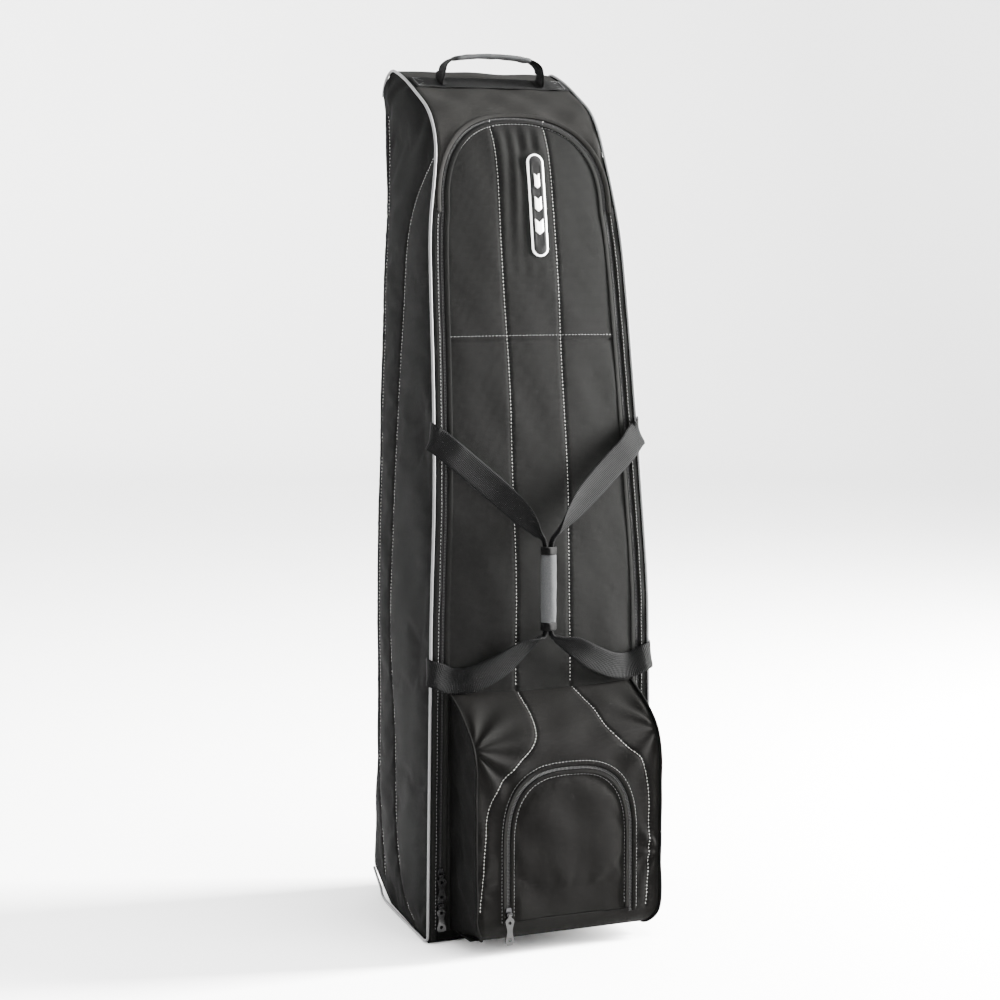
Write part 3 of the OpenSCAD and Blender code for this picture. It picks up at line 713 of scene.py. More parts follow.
def finishCloth(piece, field, thickness, finer=True):
    if finer:
        subdivide(piece)
    reshape(piece, field)
    thicken(piece, thickness)
    piece.data.polygons.foreach_set("use_smooth", [True] * len(piece.data.polygons))
    return piece


def groove(distance, depth, width):
    return -depth * np.exp(-(distance / width) ** 2)


# the main zip, its tapes and the lid inside it
zipper = {
    "inset": 17 * mm, "tape": 4.7 * mm, "spring": 1.060, "top": 1.194, "power": 2.4,
    "foot": 18 * mm, "toothPitch": 2.1 * mm,
}


# up a left edge, over a squared arch, and down the other side
def archLine(leftEdge, across, rise, spring, power, count, step):
    turn = np.radians(np.linspace(179.5, 0.5, count))
    c, s = np.cos(turn), np.sin(turn)
    arch = np.stack([across * np.sign(c) * np.abs(c) ** (2 / power), spring + rise * s ** (2 / power)], 1)
    return evenLine(np.concatenate([leftEdge, arch, leftEdge[::-1] * [-1, 1]]), step)


# signed distance from a squared arch of half width a and rise b
def archDistance(x, above, a, b, power, slope=1.0):
    px, pz = np.abs(x) / a, np.maximum(above, 0) / b
    f = np.maximum(px**power + pz**power, 1e-9) ** (1 / power)
    gx = f ** (1 - power) * px ** (power - 1) / a
    gz = f ** (1 - power) * pz ** (power - 1) / b * slope
    return (f - 1) / np.maximum(np.hypot(gx, gz), 1e-3)


def zipLine(inset, z0=zipper["foot"]):
    step, spring = 3 * mm, zipper["spring"]
    zs = np.arange(z0, spring, step)
    leftEdge = np.stack([inset - frontHalf(zs), zs], 1)
    rise = zipper["top"] - spring + zipper["inset"] - inset
    return archLine(leftEdge, frontHalf(spring) - inset, rise, spring, zipper["power"], 161, step)


# signed distance from the lid's outline, negative inside it
def lidDistance(x, s, inset):
    z = heightAt(s)
    spring = zipper["spring"]
    rise = zipper["top"] - spring + zipper["inset"] - inset
    slope = np.maximum(slopeAt(s), 0.3)
    arch = archDistance(x, z - spring, frontHalf(spring) - inset, rise, zipper["power"], slope)
    return np.where(z > spring, arch, np.abs(x) - (frontHalf(z) - inset))


# a strip swept along a line [x, z] of the front, through points [offset, out]
def frontStrip(name, line, section, material):
    section = np.asarray(section, float)
    flat = flatLine(line)
    n = outwardNormals(flat)
    offset, out = section[None, :, 0], section[None, :, 1]
    points = frontPoint(flat[:, :1] + n[:, :1] * offset, flat[:, 1:] + n[:, 1:] * offset, out)
    uv = pairs(offset + 0.2, lengthsOf(flat)[:, None])
    return makeMesh(name, points, gridFaces(len(line), len(section)), material, uv)


# a line [x, z] of the front laid flat, as [x, s]
def flatLine(line):
    return np.stack([line[:, 0], alongAt(line[:, 1])], 1)


# points and normals of a line [x, s] on the front, raised by out
def onFront(line, out):
    centre = frontPoint(line[:, 0], line[:, 1], out)
    return centre, frontPoint(line[:, 0], line[:, 1], out + 1.0) - centre


# a row of coil teeth beside a flat line, set on the surface that place gives
def layTeeth(name, flat, beside, out, place, r):
    even = evenLine(flat, zipper["toothPitch"])
    t = unit(np.gradient(even, axis=0))
    spot = even + np.stack([-t[:, 1], t[:, 0]], 1) * beside * mm
    centre = place(spot[:, 0], spot[:, 1], out)
    up = place(spot[:, 0], spot[:, 1], out + 1) - centre
    ahead = place(even[:, 0] + t[:, 0] * mm, even[:, 1] + t[:, 1] * mm, out)
    along = unit(ahead - place(even[:, 0], even[:, 1], out))
    template, faces = rodTemplate(2.6 * mm, r, 6, 3)
    axes = np.stack([np.cross(up, along), along, up], 1)
    return placeCopies(name, template, faces, centre, axes, coilNylon)


def zipTeeth(line, beside):
    return layTeeth("zipTeeth", flatLine(line), beside, -0.3 * mm, frontPoint, 0.75 * mm)


lid = {
    "inset": zipper["inset"] + zipper["tape"] + 0.4 * mm,
    "grid": 5 * mm, "stitchX": 43 * mm, "stitchFoot": 0.372, "stitchTop": 1.192,
    "seam": 0.872, "puff": 2.6 * mm, "crown": 8 * mm,
}


def makeLid():
    half = frontHalf(0.0)
    xs = np.arange(-half, half + lid["grid"], lid["grid"])
    ss = np.arange(zipper["foot"], alongAt(1.21), lid["grid"])
    # stitch lines fall on grid columns
    xs = xs - xs[np.abs(xs + lid["stitchX"]).argmin()] - lid["stitchX"]

    def place(x, s):
        inside = -lidDistance(x, s, lid["inset"])
        return frontPoint(x, s, 0.4 * mm + lid["crown"] * (1 - np.exp(-np.maximum(inside, 0) / (55 * mm))))

    piece = cutSheet("frontLid", xs, ss, lambda x, s: np.maximum(
        lidDistance(x, s, lid["inset"]), zipper["foot"] - s), place, cloth["front"])
    uv = pointUv(piece)
    x, s = uv[:, 0], uv[:, 1]
    z = heightAt(s)
    edge = lidDistance(x, s, lid["inset"]) > -3 * mm
    stitched = (np.abs(np.abs(x) - lid["stitchX"]) < 2.6 * mm) & (z > lid["stitchFoot"])
    stitched &= z < lid["stitchTop"]
    seam = np.abs(z - lid["seam"]) < 2.6 * mm
    badgeArea = (np.abs(x - 17 * mm) < 15 * mm) & (np.abs(z - 1.066) < 0.077)
    swell(piece, edge | stitched | seam | (z < 0.36) | badgeArea, 1.6, lid["puff"])
    waves = noiseField(11, 7, 60 * mm, 150 * mm)
    creases = noiseField(12, 9, 18 * mm, 45 * mm)

    def relief(u, v):
        height = heightAt(v)
        between = np.exp(-(u / (40 * mm)) ** 4) * gently(height, 0.93, 1.12) * gently(1.192 - height, 0, 0.03)
        ribs = 1.1 * mm * between * np.sin(u * 2 * math.pi / (21 * mm) + 1.4 * np.sin(height * 9))
        shown = (height > lid["stitchFoot"] - 0.01) & (height < lid["stitchTop"])
        wander = 0.8 * mm * np.sin(height * 21 + u * 0)
        channel = groove(np.abs(u) - lid["stitchX"] - wander, 1.5 * mm, 3.2 * mm) * shown
        across = groove(height - lid["seam"], 1.5 * mm, 1.8 * mm)
        lip = 0.7 * mm * np.exp(-((height - lid["seam"] - 5 * mm) / (3 * mm)) ** 2)
        soft = 0.4 * mm * waves(u * 1.6, v) + 0.06 * mm * creases(u * 2.2, v)
        pucker = 0.35 * mm * np.sin(v * 2 * math.pi / (9.5 * mm)) * np.exp(
            -((np.abs(u) - lid["stitchX"]) / (9 * mm)) ** 2) * shown
        inside = gently(-lidDistance(u, v, lid["inset"]), 0, 10 * mm)
        beside = np.maximum(np.abs(u - 17 * mm) - 10 * mm, 0)
        fromBadge = np.hypot(beside, np.maximum(np.abs(height - 1.066) - 0.07, 0))
        return channel + across + lip + (ribs + soft) * inside * gently(fromBadge, 4 * mm, 16 * mm) + pucker

    finishCloth(piece, relief, 2.2 * mm)
    return piece


def lidStitches(sheet):
    made = []
    for side in (-1, 1):
        zs = np.arange(lid["stitchFoot"], lid["stitchTop"], 4 * mm)
        line = np.stack([side * (lid["stitchX"] + 0.8 * mm * np.sin(zs * 21)), alongAt(zs)], 1)
        centre, up = onFront(line, lid["crown"])
        made.append(stitchRow("lidStitches", layOn(sheet, centre, up, 0.25 * mm), up, paleThread))
    return joinPieces("lidStitches", made)


def seamStitches(sheet):
    seam = lid["seam"]
    x = np.arange(-frontHalf(seam) + lid["inset"] + 3 * mm, frontHalf(seam) - lid["inset"], 4 * mm)
    line = np.stack([x, np.full(len(x), alongAt(seam + 6.5 * mm))], 1)
    centre, up = onFront(line, lid["crown"])
    line = layOn(sheet, centre, up, 0.2 * mm)
    return stitchRow("seamStitches", line, up, blackThread, share=0.6, r=0.4 * mm)


# a row of black stitches beside the zip, laid on the sheet that it is sewn through
def zipStitches(name, sheet, line):
    centre, up = onFront(flatLine(line), 2 * mm)
    return stitchRow(name, layOn(sheet, centre, up, 0.3 * mm), up, blackThread, share=0.6, r=0.5 * mm)


# a turned and stitched fold of cloth that borders a zip, from offset to offset of its line
def foldSection(near, far, height):
    share = np.linspace(0, 1, 9)
    offset = near + (far - near) * share
    out = height * np.sin(np.pi * np.minimum(share * 0.62 + 0.02, 1)) ** 0.6
    return np.stack([offset, out - 0.5 * mm], 1)


# the fabric between the piping and the zip
gusset = {"edge": 0.6 * mm, "lipInset": 13.2 * mm, "puff": 1.7 * mm}


def gussetOut(fromEdge, fromZip):
    rise = np.clip(fromEdge / (5 * mm), 0, 1) ** 0.6
    drop = np.clip(fromZip / (2.4 * mm), 0, 1) ** 0.5
    return -1.2 * mm + (gusset["puff"] + 1.2 * mm) * rise * drop


def makeGusset(side):
    zs = np.arange(3 * mm, zipper["spring"] + 6 * mm, 3 * mm)
    share = np.linspace(0, 1, 15)
    wave = noiseField(20 + side, 6, 40 * mm, 120 * mm)
    inset = gusset["edge"] + share[None, :] * (gusset["lipInset"] - gusset["edge"])
    x = side * (frontHalf(zs)[:, None] - inset)
    s = np.repeat(alongAt(zs)[:, None], len(share), 1)
    out = gussetOut(inset - gusset["edge"], gusset["lipInset"] - inset)
    out = out + 0.6 * mm * wave(s, x) * np.sin(math.pi * share)[None, :]
    x = x - side * 0.7 * mm * wave(s * 1.5, x * 0 + 0.3) * share[None, :] ** 2
    uv = np.stack([x, s], -1)
    name = "gussetLeft" if side < 0 else "gussetRight"
    faces = gridFaces(len(zs), len(share))
    if side > 0:
        faces = [f[::-1] for f in faces]
    piece = makeMesh(name, frontPoint(x, s, out), faces, cloth["front"], uv)
    thicken(piece, 1.3 * mm)
    return piece


# the foot of the front, below the lid
def makeBaseBand():
    zs = np.linspace(1.5 * mm, 21 * mm, 6)
    share = np.linspace(-1, 1, 70)
    x = (frontHalf(zs)[:, None] - 1.5 * mm) * share[None, :]
    z = np.repeat(zs[:, None], 70, 1)
    out = -1.4 * mm + 0.7 * mm * np.sin(np.linspace(0, math.pi, 6))[:, None] + 0 * x
    piece = makeMesh("baseBand", frontPoint(x, alongAt(z), out), gridFaces(6, 70), cloth["side"],
                     np.stack([x, z], -1))
    thicken(piece, 1.6 * mm)
    return piece


def makeHood():
    grid = 4 * mm
    half = frontHalf(zipper["spring"]) + grid
    xs = np.arange(-half, half + grid, grid)
    s0, s1 = alongAt(zipper["spring"]) - 1 * mm, alongAt(1.240)
    ss = np.arange(s0, s1 + grid, grid)

    def signed(x, s):
        body = np.abs(x) - (frontHalf(heightAt(s)) - gusset["edge"])
        beside = np.maximum(body, -lidDistance(x, s, gusset["lipInset"]))
        return np.maximum(beside, np.maximum(s0 - s, s - s1))

    def place(x, s):
        fromEdge = np.maximum(frontHalf(heightAt(s)) - gusset["edge"] - np.abs(x), 0)
        fromZip = np.maximum(lidDistance(x, s, gusset["lipInset"]), 0)
        return frontPoint(x, s, gussetOut(fromEdge, fromZip))

    piece = cutSheet("hoodPanel", xs, ss, signed, place, cloth["hood"])
    waves = noiseField(31, 7, 45 * mm, 120 * mm)

    def relief(u, v):
        free = gently(lidDistance(u, v, gusset["lipInset"]), 0, 14 * mm)
        return 1.1 * mm * waves(u, v * 1.4) * free

    return finishCloth(piece, relief, 1.4 * mm)


def makeTop():
    grid = 4 * mm
    s0, s1 = alongAt(1.240) + 0.6 * mm, pathS[-1] - 1 * mm
    ss = np.arange(s0, s1 + grid, grid)
    half = frontHalf(1.24) - 0.8 * mm
    xs = np.linspace(-half, half, 64)
    x, s = np.meshgrid(xs, ss)
    fromEdge = half - np.abs(x)
    out = gussetOut(fromEdge, np.full_like(x, 1.0)) - 0.4 * mm
    piece = makeMesh("topPanel", frontPoint(x, s, out), gridFaces(len(ss), len(xs)), cloth["hood"],
                     np.stack([x, s], -1))
    waves = noiseField(32, 6, 50 * mm, 110 * mm)
    return finishCloth(piece, lambda u, v: 0.8 * mm * waves(u, v), 1.4 * mm)


# side panels: straight from the front edge to the rounded rear corner
side = {"grid": 6.5 * mm, "puff": 6.5 * mm, "straight": 46, "corner": 9}
# stitch lines as [depth, height], one down the middle of the panel and one beside the rear corner
sideSeam = smoothLine(np.array([
    [-88, 1143], [-13, 1046], [11, 872], [24, 670], [34, 462],
    [17, 304], [-5, 115], [-40, 40], [-88, 12]]) * mm)
rearSeam = smoothLine(np.array([
    [112, 1205], [98, 1090], [94, 795], [93, 467], [88, 181], [66, 40]]) * mm)


# the outer surface at t from 0 at the piping to 1 at the back panel
def sidePoint(t, z, out=0.0):
    w, wr, r = frontHalf(z), rearHalf(z), cornerR(z)
    yf, yb = frontY(z), rearY(z)
    low = np.interp(z, outline[:, 0], outline[:, 3] - outline[:, 5])
    r = np.where(z < backTop - 0.05, low, np.maximum(r, 0.2 * mm))
    straight = np.hypot(wr - w, yb - r - yf)
    arc = r * math.pi / 2
    u = t * (straight + arc)
    q = np.clip(u / np.maximum(straight, 1e-6), 0, 1)
    x = -w + (w - wr) * q
    y = yf + (yb - r - yf) * q
    turn = np.clip((u - straight) / np.maximum(r, 1e-6), 0, math.pi / 2)
    x = x + r * (1 - np.cos(turn))
    y = y + r * np.sin(turn)
    nx, ny = -np.cos(turn), np.sin(turn)
    return np.stack([x + nx * out, y + ny * out, z + 0 * x], -1)


def makeSide(name, sign, seed):
    head = np.arange(1.238, topZ - 0.5 * mm, 2.6 * mm)
    zs = np.concatenate([np.arange(0.8 * mm, 1.236, side["grid"]), head])
    count = side["straight"] + side["corner"]
    share = np.linspace(0, 1, count)
    t, z = np.meshgrid(share, zs)
    rim = np.minimum(np.minimum(t * 0.3, (1 - t) * 0.3), np.minimum(z, topZ - z))
    points = sidePoint(t, z, 1.2 * mm * gently(rim, 0, 20 * mm))
    steps = np.linalg.norm(np.diff(points, axis=1), axis=2)
    u = np.concatenate([np.zeros((len(zs), 1)), np.cumsum(steps, 1)], 1)
    points[..., 0] *= -sign
    faces = gridFaces(len(zs), count)
    if sign < 0:
        faces = turned(faces)
    piece = makeMesh(name, points, faces, cloth["side"], np.stack([u, z], -1))
    y = points[..., 1].ravel()
    height = z.ravel()
    toSeam = np.minimum(polylineDistance(y, height, sideSeam), polylineDistance(y, height, rearSeam))
    edge = (t.ravel() < 0.012) | (t.ravel() > 0.86) | (height < 6 * mm) | (height > topZ - 12 * mm)
    tabs = (np.abs(height - 0.737) < 26 * mm) | (np.abs(height - 0.412) < 26 * mm)
    swell(piece, edge | (toSeam < 3.4 * mm) | (tabs & (t.ravel() < 0.16)), 1.5, side["puff"], extra=0.006)
    waves = noiseField(seed, 8, 110 * mm, 300 * mm)
    folds = noiseField(seed + 1, 9, 45 * mm, 130 * mm)

    subdivide(piece)
    depth = np.array([v.co.y for v in piece.data.vertices])

    def relief(a, b):
        near = np.minimum(polylineDistance(depth, b, sideSeam), polylineDistance(depth, b, rearSeam))
        free = gently(depth - frontY(np.minimum(b, topZ - 1e-4)), 2 * mm, 30 * mm) * gently(b, 0, 40 * mm)
        low = 0.35 + 0.65 * gently(0.5 - b, 0, 0.35) + 0.5 * gently(b - 1.0, 0, 0.15)
        puckers = 0.4 * mm * np.sin(b * 2 * math.pi / (11 * mm)) * np.exp(-(near / (12 * mm)) ** 2)
        tame = gently(near, 0, 24 * mm)
        folded = 0.7 * mm * low * folds(a * 0.8 + b * 0.3, b * 0.7) * tame
        return groove(near, 1.8 * mm, 3.4 * mm) + free * (0.9 * mm * waves(a, b) + folded) + puckers * free

    return finishCloth(piece, relief, 1.6 * mm, finer=False)


def sideStitches(name, sign, sheet):
    made = []
    for seam in (sideSeam, rearSeam):
        y, z = seam[:, 0], seam[:, 1]
        w, wr = frontHalf(z), rearHalf(z)
        yf = frontY(z)
        yb = rearY(z) - np.interp(z, outline[:, 0], outline[:, 3] - outline[:, 5])
        x = -(w + (wr - w) * np.clip((y - yf) / (yb - yf), 0, 1))
        turn = np.clip((y - yb) / 34e-3, 0, 1)
        x = x + 34 * mm * (1 - np.sqrt(1 - turn**2)) * (y > yb)
        centre = np.stack([-sign * (x - 0.7 * mm), y, z], 1)
        centre, up = evenLine(centre, 4 * mm), np.array([sign, 0, 0])
        up = np.tile(up, (len(centre), 1))
        made.append(stitchRow(name, layOn(sheet, centre, up, 0.25 * mm), up, paleThread, r=0.42 * mm))
    return joinPieces(name, made)


# piping: a silver cord right round the side panel's front edge
piping = {"r": 2.0 * mm, "out": 0.9 * mm, "beside": 1.6 * mm}


def pipingLine():
    body = np.arange(9 * mm, pathS[-1] - 2 * mm, 4 * mm)
    z = heightAt(body)
    front = frontPoint(0 * z, body, piping["out"])
    front[:, 0] = -(frontHalf(z) + piping["beside"])
    low = np.array([
        [-rearHalf(0.04) - 1.2 * mm, backY - 3 * mm, 42 * mm], [-rearHalf(0.02) - 2.4 * mm, 97 * mm, 19 * mm],
        [-rearHalf(0.0) - 6 * mm, 62 * mm, 3.2 * mm], [-frontHalf(0.0) + 1.2 * mm, -125 * mm, 2.8 * mm],
        [-frontHalf(0.0) - 1.4 * mm, -156 * mm, 3.0 * mm]])
    return evenLine(smoothLine(np.concatenate([low, front]), 3 * mm), 3 * mm)


def makePiping(name, sign):
    return sweepCord(name, pipingLine() * [-sign, 1, 1], piping["r"], silverVinyl, 12)


# front pocket
pocket = {
    "half": 145.6 * mm, "floor": 20 * mm, "grid": 4.5 * mm,
    "doorHalf": 97 * mm, "doorTop": 0.265, "doorSpring": 0.150, "doorPower": 2.8,
    "zipFoot": 46 * mm, "doorFoot": 50 * mm, "gap": 5.2 * mm, "puff": 4.5 * mm, "round": 17 * mm,
}
turnDown = np.radians(np.arange(270, 180, -15))
pocketLine = np.concatenate([
    [[-0.240, pocket["floor"]]],
    np.stack([-0.240 + 0.026 * np.cos(turnDown), 0.046 + 0.026 * np.sin(turnDown)], 1)[1:],
    np.array([[-266, 46], [-266, 120], [-266, 200], [-265.8, 270], [-261, 297], [-249, 314], [-219, 338],
              [-187, 356], [-166.2, 368]]) * mm])
pocketLine = evenLine(smoothLine(pocketLine, 3 * mm), 3 * mm)
pocketLine = np.stack([smoothed(pocketLine[:, i], 1.5) for i in range(2)], 1)
pocketS = np.concatenate([[0], np.cumsum(np.linalg.norm(np.diff(pocketLine, axis=0), axis=1))])
pocketN = outwardNormals(pocketLine)
# sewn curves on the pocket as [across, height], left then right
pocketSeams = [smoothLine(np.array(line) * mm) for line in (
    [[-41, 366], [-42, 325], [-56, 299], [-86, 272], [-110, 248], [-128, 205], [-132, 160], [-140, 62]],
    [[46, 366], [60, 341], [70, 312], [96, 286], [117, 264], [127, 214], [127, 119], [123, 50]])]


def pocketPoint(x, s, out=0.0):
    base = [np.interp(s, pocketS, pocketLine[:, i]) for i in range(2)]
    normal = [np.interp(s, pocketS, pocketN[:, i]) for i in range(2)]
    corner = gently(np.abs(x), 104 * mm, 146 * mm) * (1 - gently(s, 0, 58 * mm)) ** 1.5
    x = x - np.sign(x) * pocket["round"] * corner
    return np.stack(np.broadcast_arrays(x, base[0] + normal[0] * out, base[1] + normal[1] * out), -1)


def pocketHeight(s):
    return np.interp(s, pocketS, pocketLine[:, 1])


def pocketAlong(z):
    return np.interp(z, pocketLine[:, 1], pocketS)


def doorDistance(x, s, inset):
    z = pocketHeight(s)
    spring, a = pocket["doorSpring"], pocket["doorHalf"] - inset
    arch = archDistance(x, z - spring, a, pocket["doorTop"] - spring - inset, pocket["doorPower"])
    return np.where(z > spring, arch, np.abs(x) - a)


def doorLine(inset, z0=pocket["zipFoot"]):
    step, spring, a = 2.5 * mm, pocket["doorSpring"], pocket["doorHalf"] - inset
    zs = np.arange(z0, spring, step)
    leftEdge = np.stack([0 * zs - a, zs], 1)
    return archLine(leftEdge, a, pocket["doorTop"] - spring - inset, spring, pocket["doorPower"], 121, step)


# how the pocket's cloth gathers: folds run out of its top corners
def pocketFolds(x, s):
    total = 0
    for cornerX, cornerZ, reach, count, height, phase in (
            (-0.148, 0.30, 78 * mm, 11, 2.6 * mm, 0.4), (0.150, 0.31, 70 * mm, 9, 2.2 * mm, 1.9),
            (-0.150, 0.10, 36 * mm, 8, 1.1 * mm, 0.0), (0.150, 0.13, 60 * mm, 8, 1.9 * mm, 2.2)):
        dx, ds = x - cornerX, s - pocketAlong(cornerZ)
        r = np.hypot(dx, ds)
        angle = np.arctan2(ds, np.abs(dx) + 1e-4)
        fade = np.exp(-((r - 0.3 * reach) / reach) ** 2) * gently(r, 4 * mm, 22 * mm)
        total = total + height * np.sin(angle * count + phase) * fade
    return total


def pocketRelief(x, s):
    z = pocketHeight(s)
    seams = np.minimum(polylineDistance(x, z, pocketSeams[0]), polylineDistance(x, z, pocketSeams[1]))
    fromZip = np.maximum(doorDistance(x, s, -pocket["gap"]), 0)
    edge = gently(pocket["half"] - np.abs(x), 0, 12 * mm)
    calm = gently(fromZip, 0, 16 * mm) * (0.35 + 0.65 * gently(pocketS[-1] - s, 0, 30 * mm))
    soft = 0.9 * mm * pocketWaves(x, s * 1.2)
    along = np.sin(s * 2 * math.pi / (10 * mm))
    return (groove(seams, 1.6 * mm, 3.0 * mm) + 0.4 * mm * along * np.exp(-(seams / (10 * mm)) ** 2)
            + (pocketFolds(x, s) + soft) * calm * edge - 1.4 * mm * (1 - edge))


pocketWaves = noiseField(41, 8, 35 * mm, 110 * mm)


def makePocketFace():
    grid = pocket["grid"]
    half = pocket["half"]
    xs = np.linspace(-half, half, int(2 * half / grid) + 1)
    ss = np.linspace(0, pocketS[-1] - 0.5 * mm, int(pocketS[-1] / grid))
    foot = pocketAlong(pocket["doorFoot"])

    def cut(x, s):
        return np.minimum(-doorDistance(x, s, -pocket["gap"]), s - foot)

    piece = cutSheet("pocketFace", xs, ss, cut, lambda x, s: pocketPoint(x, s), cloth["pocket"])
    uv = pointUv(piece)
    x, s = uv[:, 0], uv[:, 1]
    z = pocketHeight(s)
    seams = np.minimum(polylineDistance(x, z, pocketSeams[0]), polylineDistance(x, z, pocketSeams[1]))
    held = (np.abs(x) > half - 2 * mm) | (s < 2 * mm) | (s > pocketS[-1] - 4 * mm)
    held |= (seams < 2.4 * mm) | (doorDistance(x, s, -pocket["gap"]) < 5 * mm)
    swell(piece, held, 1.8, pocket["puff"], extra=0.01)
    return finishCloth(piece, pocketRelief, 1.8 * mm)


def makePocketDoor():
    grid = pocket["grid"]
    half = pocket["doorHalf"]
    xs = np.linspace(-half, half, 44)
    foot = pocketAlong(pocket["doorFoot"]) + 0.2 * mm
    ss = np.arange(foot, pocketAlong(pocket["doorTop"]) + grid, grid)
    piece = cutSheet("pocketDoor", xs, ss, lambda x, s: np.maximum(
        doorDistance(x, s, pocket["gap"]), foot - s), pocketPoint, cloth["pocket"])
    uv = pointUv(piece)
    held = (doorDistance(uv[:, 0], uv[:, 1], pocket["gap"]) > -5 * mm) | (uv[:, 1] < pocketAlong(0.092))
    swell(piece, held, 1.4, 4 * mm, extra=0.006)
    waves = noiseField(43, 7, 40 * mm, 120 * mm)

    def relief(x, s):
        inside = gently(-doorDistance(x, s, pocket["gap"]), 0, 16 * mm)
        return 0.9 * mm * waves(x, s) * inside - 0.8 * mm * (1 - inside)

    return finishCloth(piece, relief, 1.8 * mm)


def flatDoorLine(inset, z0=pocket["zipFoot"]):
    line = doorLine(inset, z0)
    return np.stack([line[:, 0], pocketAlong(line[:, 1])], 1)


# a strip swept along the pocket's zip, out from its line by offset and up by out
def pocketSweep(flat, offset, out):
    n = outwardNormals(flat)
    return pocketPoint(flat[:, :1] + n[:, :1] * offset, flat[:, 1:] + n[:, 1:] * offset, out)


def pocketStrip(inset0, inset1):
    flat = flatDoorLine(0.0)
    offset = np.linspace(-inset0, -inset1, 5)[None, :]
    out = -1.2 * mm + 0.5 * mm * np.sin(np.linspace(0, math.pi, 5))[None, :]
    piece = makeMesh("pocketTape", pocketSweep(flat, offset, out), gridFaces(len(flat), 5), cloth["zip"],
                     pairs(offset, lengthsOf(flat)[:, None]))
    return thicken(piece, 0.8 * mm)


def pocketTeeth(beside):
    return layTeeth("pocketTeeth", flatDoorLine(0.0), beside, -0.2 * mm, pocketPoint, 0.7 * mm)


# a row of stitches laid on the pocket along a line of [across, height]
def pocketRow(name, sheet, line, material, **sizes):
    line = evenLine(line, 3 * mm)
    s = pocketAlong(line[:, 1])
    centre = pocketPoint(line[:, 0], s, 2 * mm)
    up = pocketPoint(line[:, 0], s, 1.002) - centre
    return stitchRow(name, layOn(sheet, centre, up, 0.25 * mm), up, material, **sizes)


# turned folds that border the pocket's zip
def pocketFold(name, near, far, height, z0):
    flat = flatDoorLine(0.0, z0)
    section = foldSection(near, far, height)
    offset, out = section[None, :, 0], section[None, :, 1]
    faces = gridFaces(len(flat), len(section))
    if near > far:
        faces = turned(faces)
    piece = makeMesh(name, pocketSweep(flat, offset, out), faces, cloth["pocket"], pairs(offset, flat[:, 1:]))
    return thicken(piece, 0.9 * mm)


# the two ends of the pocket and its floor
def makePocketSides():
    made = []
    for sign in (-1, 1):
        wall = -0.1655
        q = np.linspace(0, 1, 22)[None, :]
        rows = pocketLine
        y = wall + (rows[:, :1] - wall) * q
        z = np.repeat(rows[:, 1:], 22, 1)
        wave = noiseField(50 + sign, 7, 30 * mm, 100 * mm)
        free = np.sin(math.pi * q) ** 0.7 * gently(z, 20 * mm, 60 * mm) * gently(0.368 - z, 0, 60 * mm)
        along = np.interp(rows[:, 1], pocketLine[:, 1], pocketS)[:, None]
        rounding = pocket["round"] * (1 - gently(along, 0, 58 * mm)) ** 1.5 * gently(q, 0.25, 1)
        x = sign * (pocket["half"] + 0.3 * mm - rounding + free * (2.2 * mm + 2.0 * mm * wave(y, z)))
        faces = gridFaces(len(rows), 22)
        if sign > 0:
            faces = [f[::-1] for f in faces]
        piece = makeMesh("pocketSides", np.stack([x, y, z], -1), faces, cloth["side"], np.stack([y, z], -1))
        thicken(piece, 1.8 * mm)
        made.append(piece)
    xs, ys = np.meshgrid(np.linspace(-pocket["half"], pocket["half"], 40), np.linspace(-0.1655, -0.241, 12))
    floor = makeMesh("pocketFloor", np.stack([xs, ys, 0 * xs + pocket["floor"]], -1), gridFaces(12, 40),
                     cloth["side"], np.stack([xs, ys], -1))
    thicken(floor, 1.8 * mm)
    return joinPieces("pocketSides", made + [floor])


# narrow binding sewn along the pocket's two front edges, down to its foot
def makePocketBinding():
    made = []
    ripples = noiseField(61, 5, 25 * mm, 70 * mm)
    for sign in (-1, 1):
        s = np.arange(0, pocketS[-1] - 3 * mm, 3 * mm)
        x = sign * (pocket["half"] + 0.6 * mm + 0.7 * mm * ripples(s, s * 0 + sign))
        made.append(sweepCord("pocketBinding", pocketPoint(x, s, 0.4 * mm), 2.0 * mm, cloth["side"], 8))
    return joinPieces("pocketBinding", made)


# webbing straps, each row is [centre, direction of the width, half width, half thickness, fold]
def ribbon(name, rows, material, step=2.5 * mm, across=13, edge=0.45):
    flat = np.array([[*c, *d, w, t, f] for c, d, w, t, f in rows], float)
    flat[:, :3] *= mm
    flat[:, 6:] *= mm
    line = smoothLine(flat, step, 3)
    centre = line[:, :3]
    t = unit(np.gradient(centre, axis=0))
    u = unit(line[:, 3:6] - t * (line[:, 3:6] * t).sum(1)[:, None])
    v = np.cross(t, u)
    q = np.linspace(-1, 1, across)
    lift = line[:, 8:9] * (np.abs(q)[None, :] ** 1.5 - 0.4)
    thin = line[:, 7:8] * (1 - (1 - edge) * np.abs(q)[None, :] ** 12)
    beside = q[None, :, None] * line[:, 6][:, None, None]
    middle = centre[:, None] + u[:, None] * beside + v[:, None] * lift[..., None]
    top = middle + v[:, None] * thin[..., None]
    low = (middle - v[:, None] * thin[..., None])[:, ::-1]
    points = np.concatenate([top, low], 1)
    spread = (q + 1) * 19 * mm
    uv = pairs(np.concatenate([spread, spread[::-1]])[None, :], lengthsOf(centre)[:, None])
    return makeMesh(name, points, tubeFaces(len(centre), 2 * across), material, uv)


strap = {"high": 737, "low": 412, "gripY": -189, "gripTop": 576, "gripLow": 454, "dropLeft": 5}


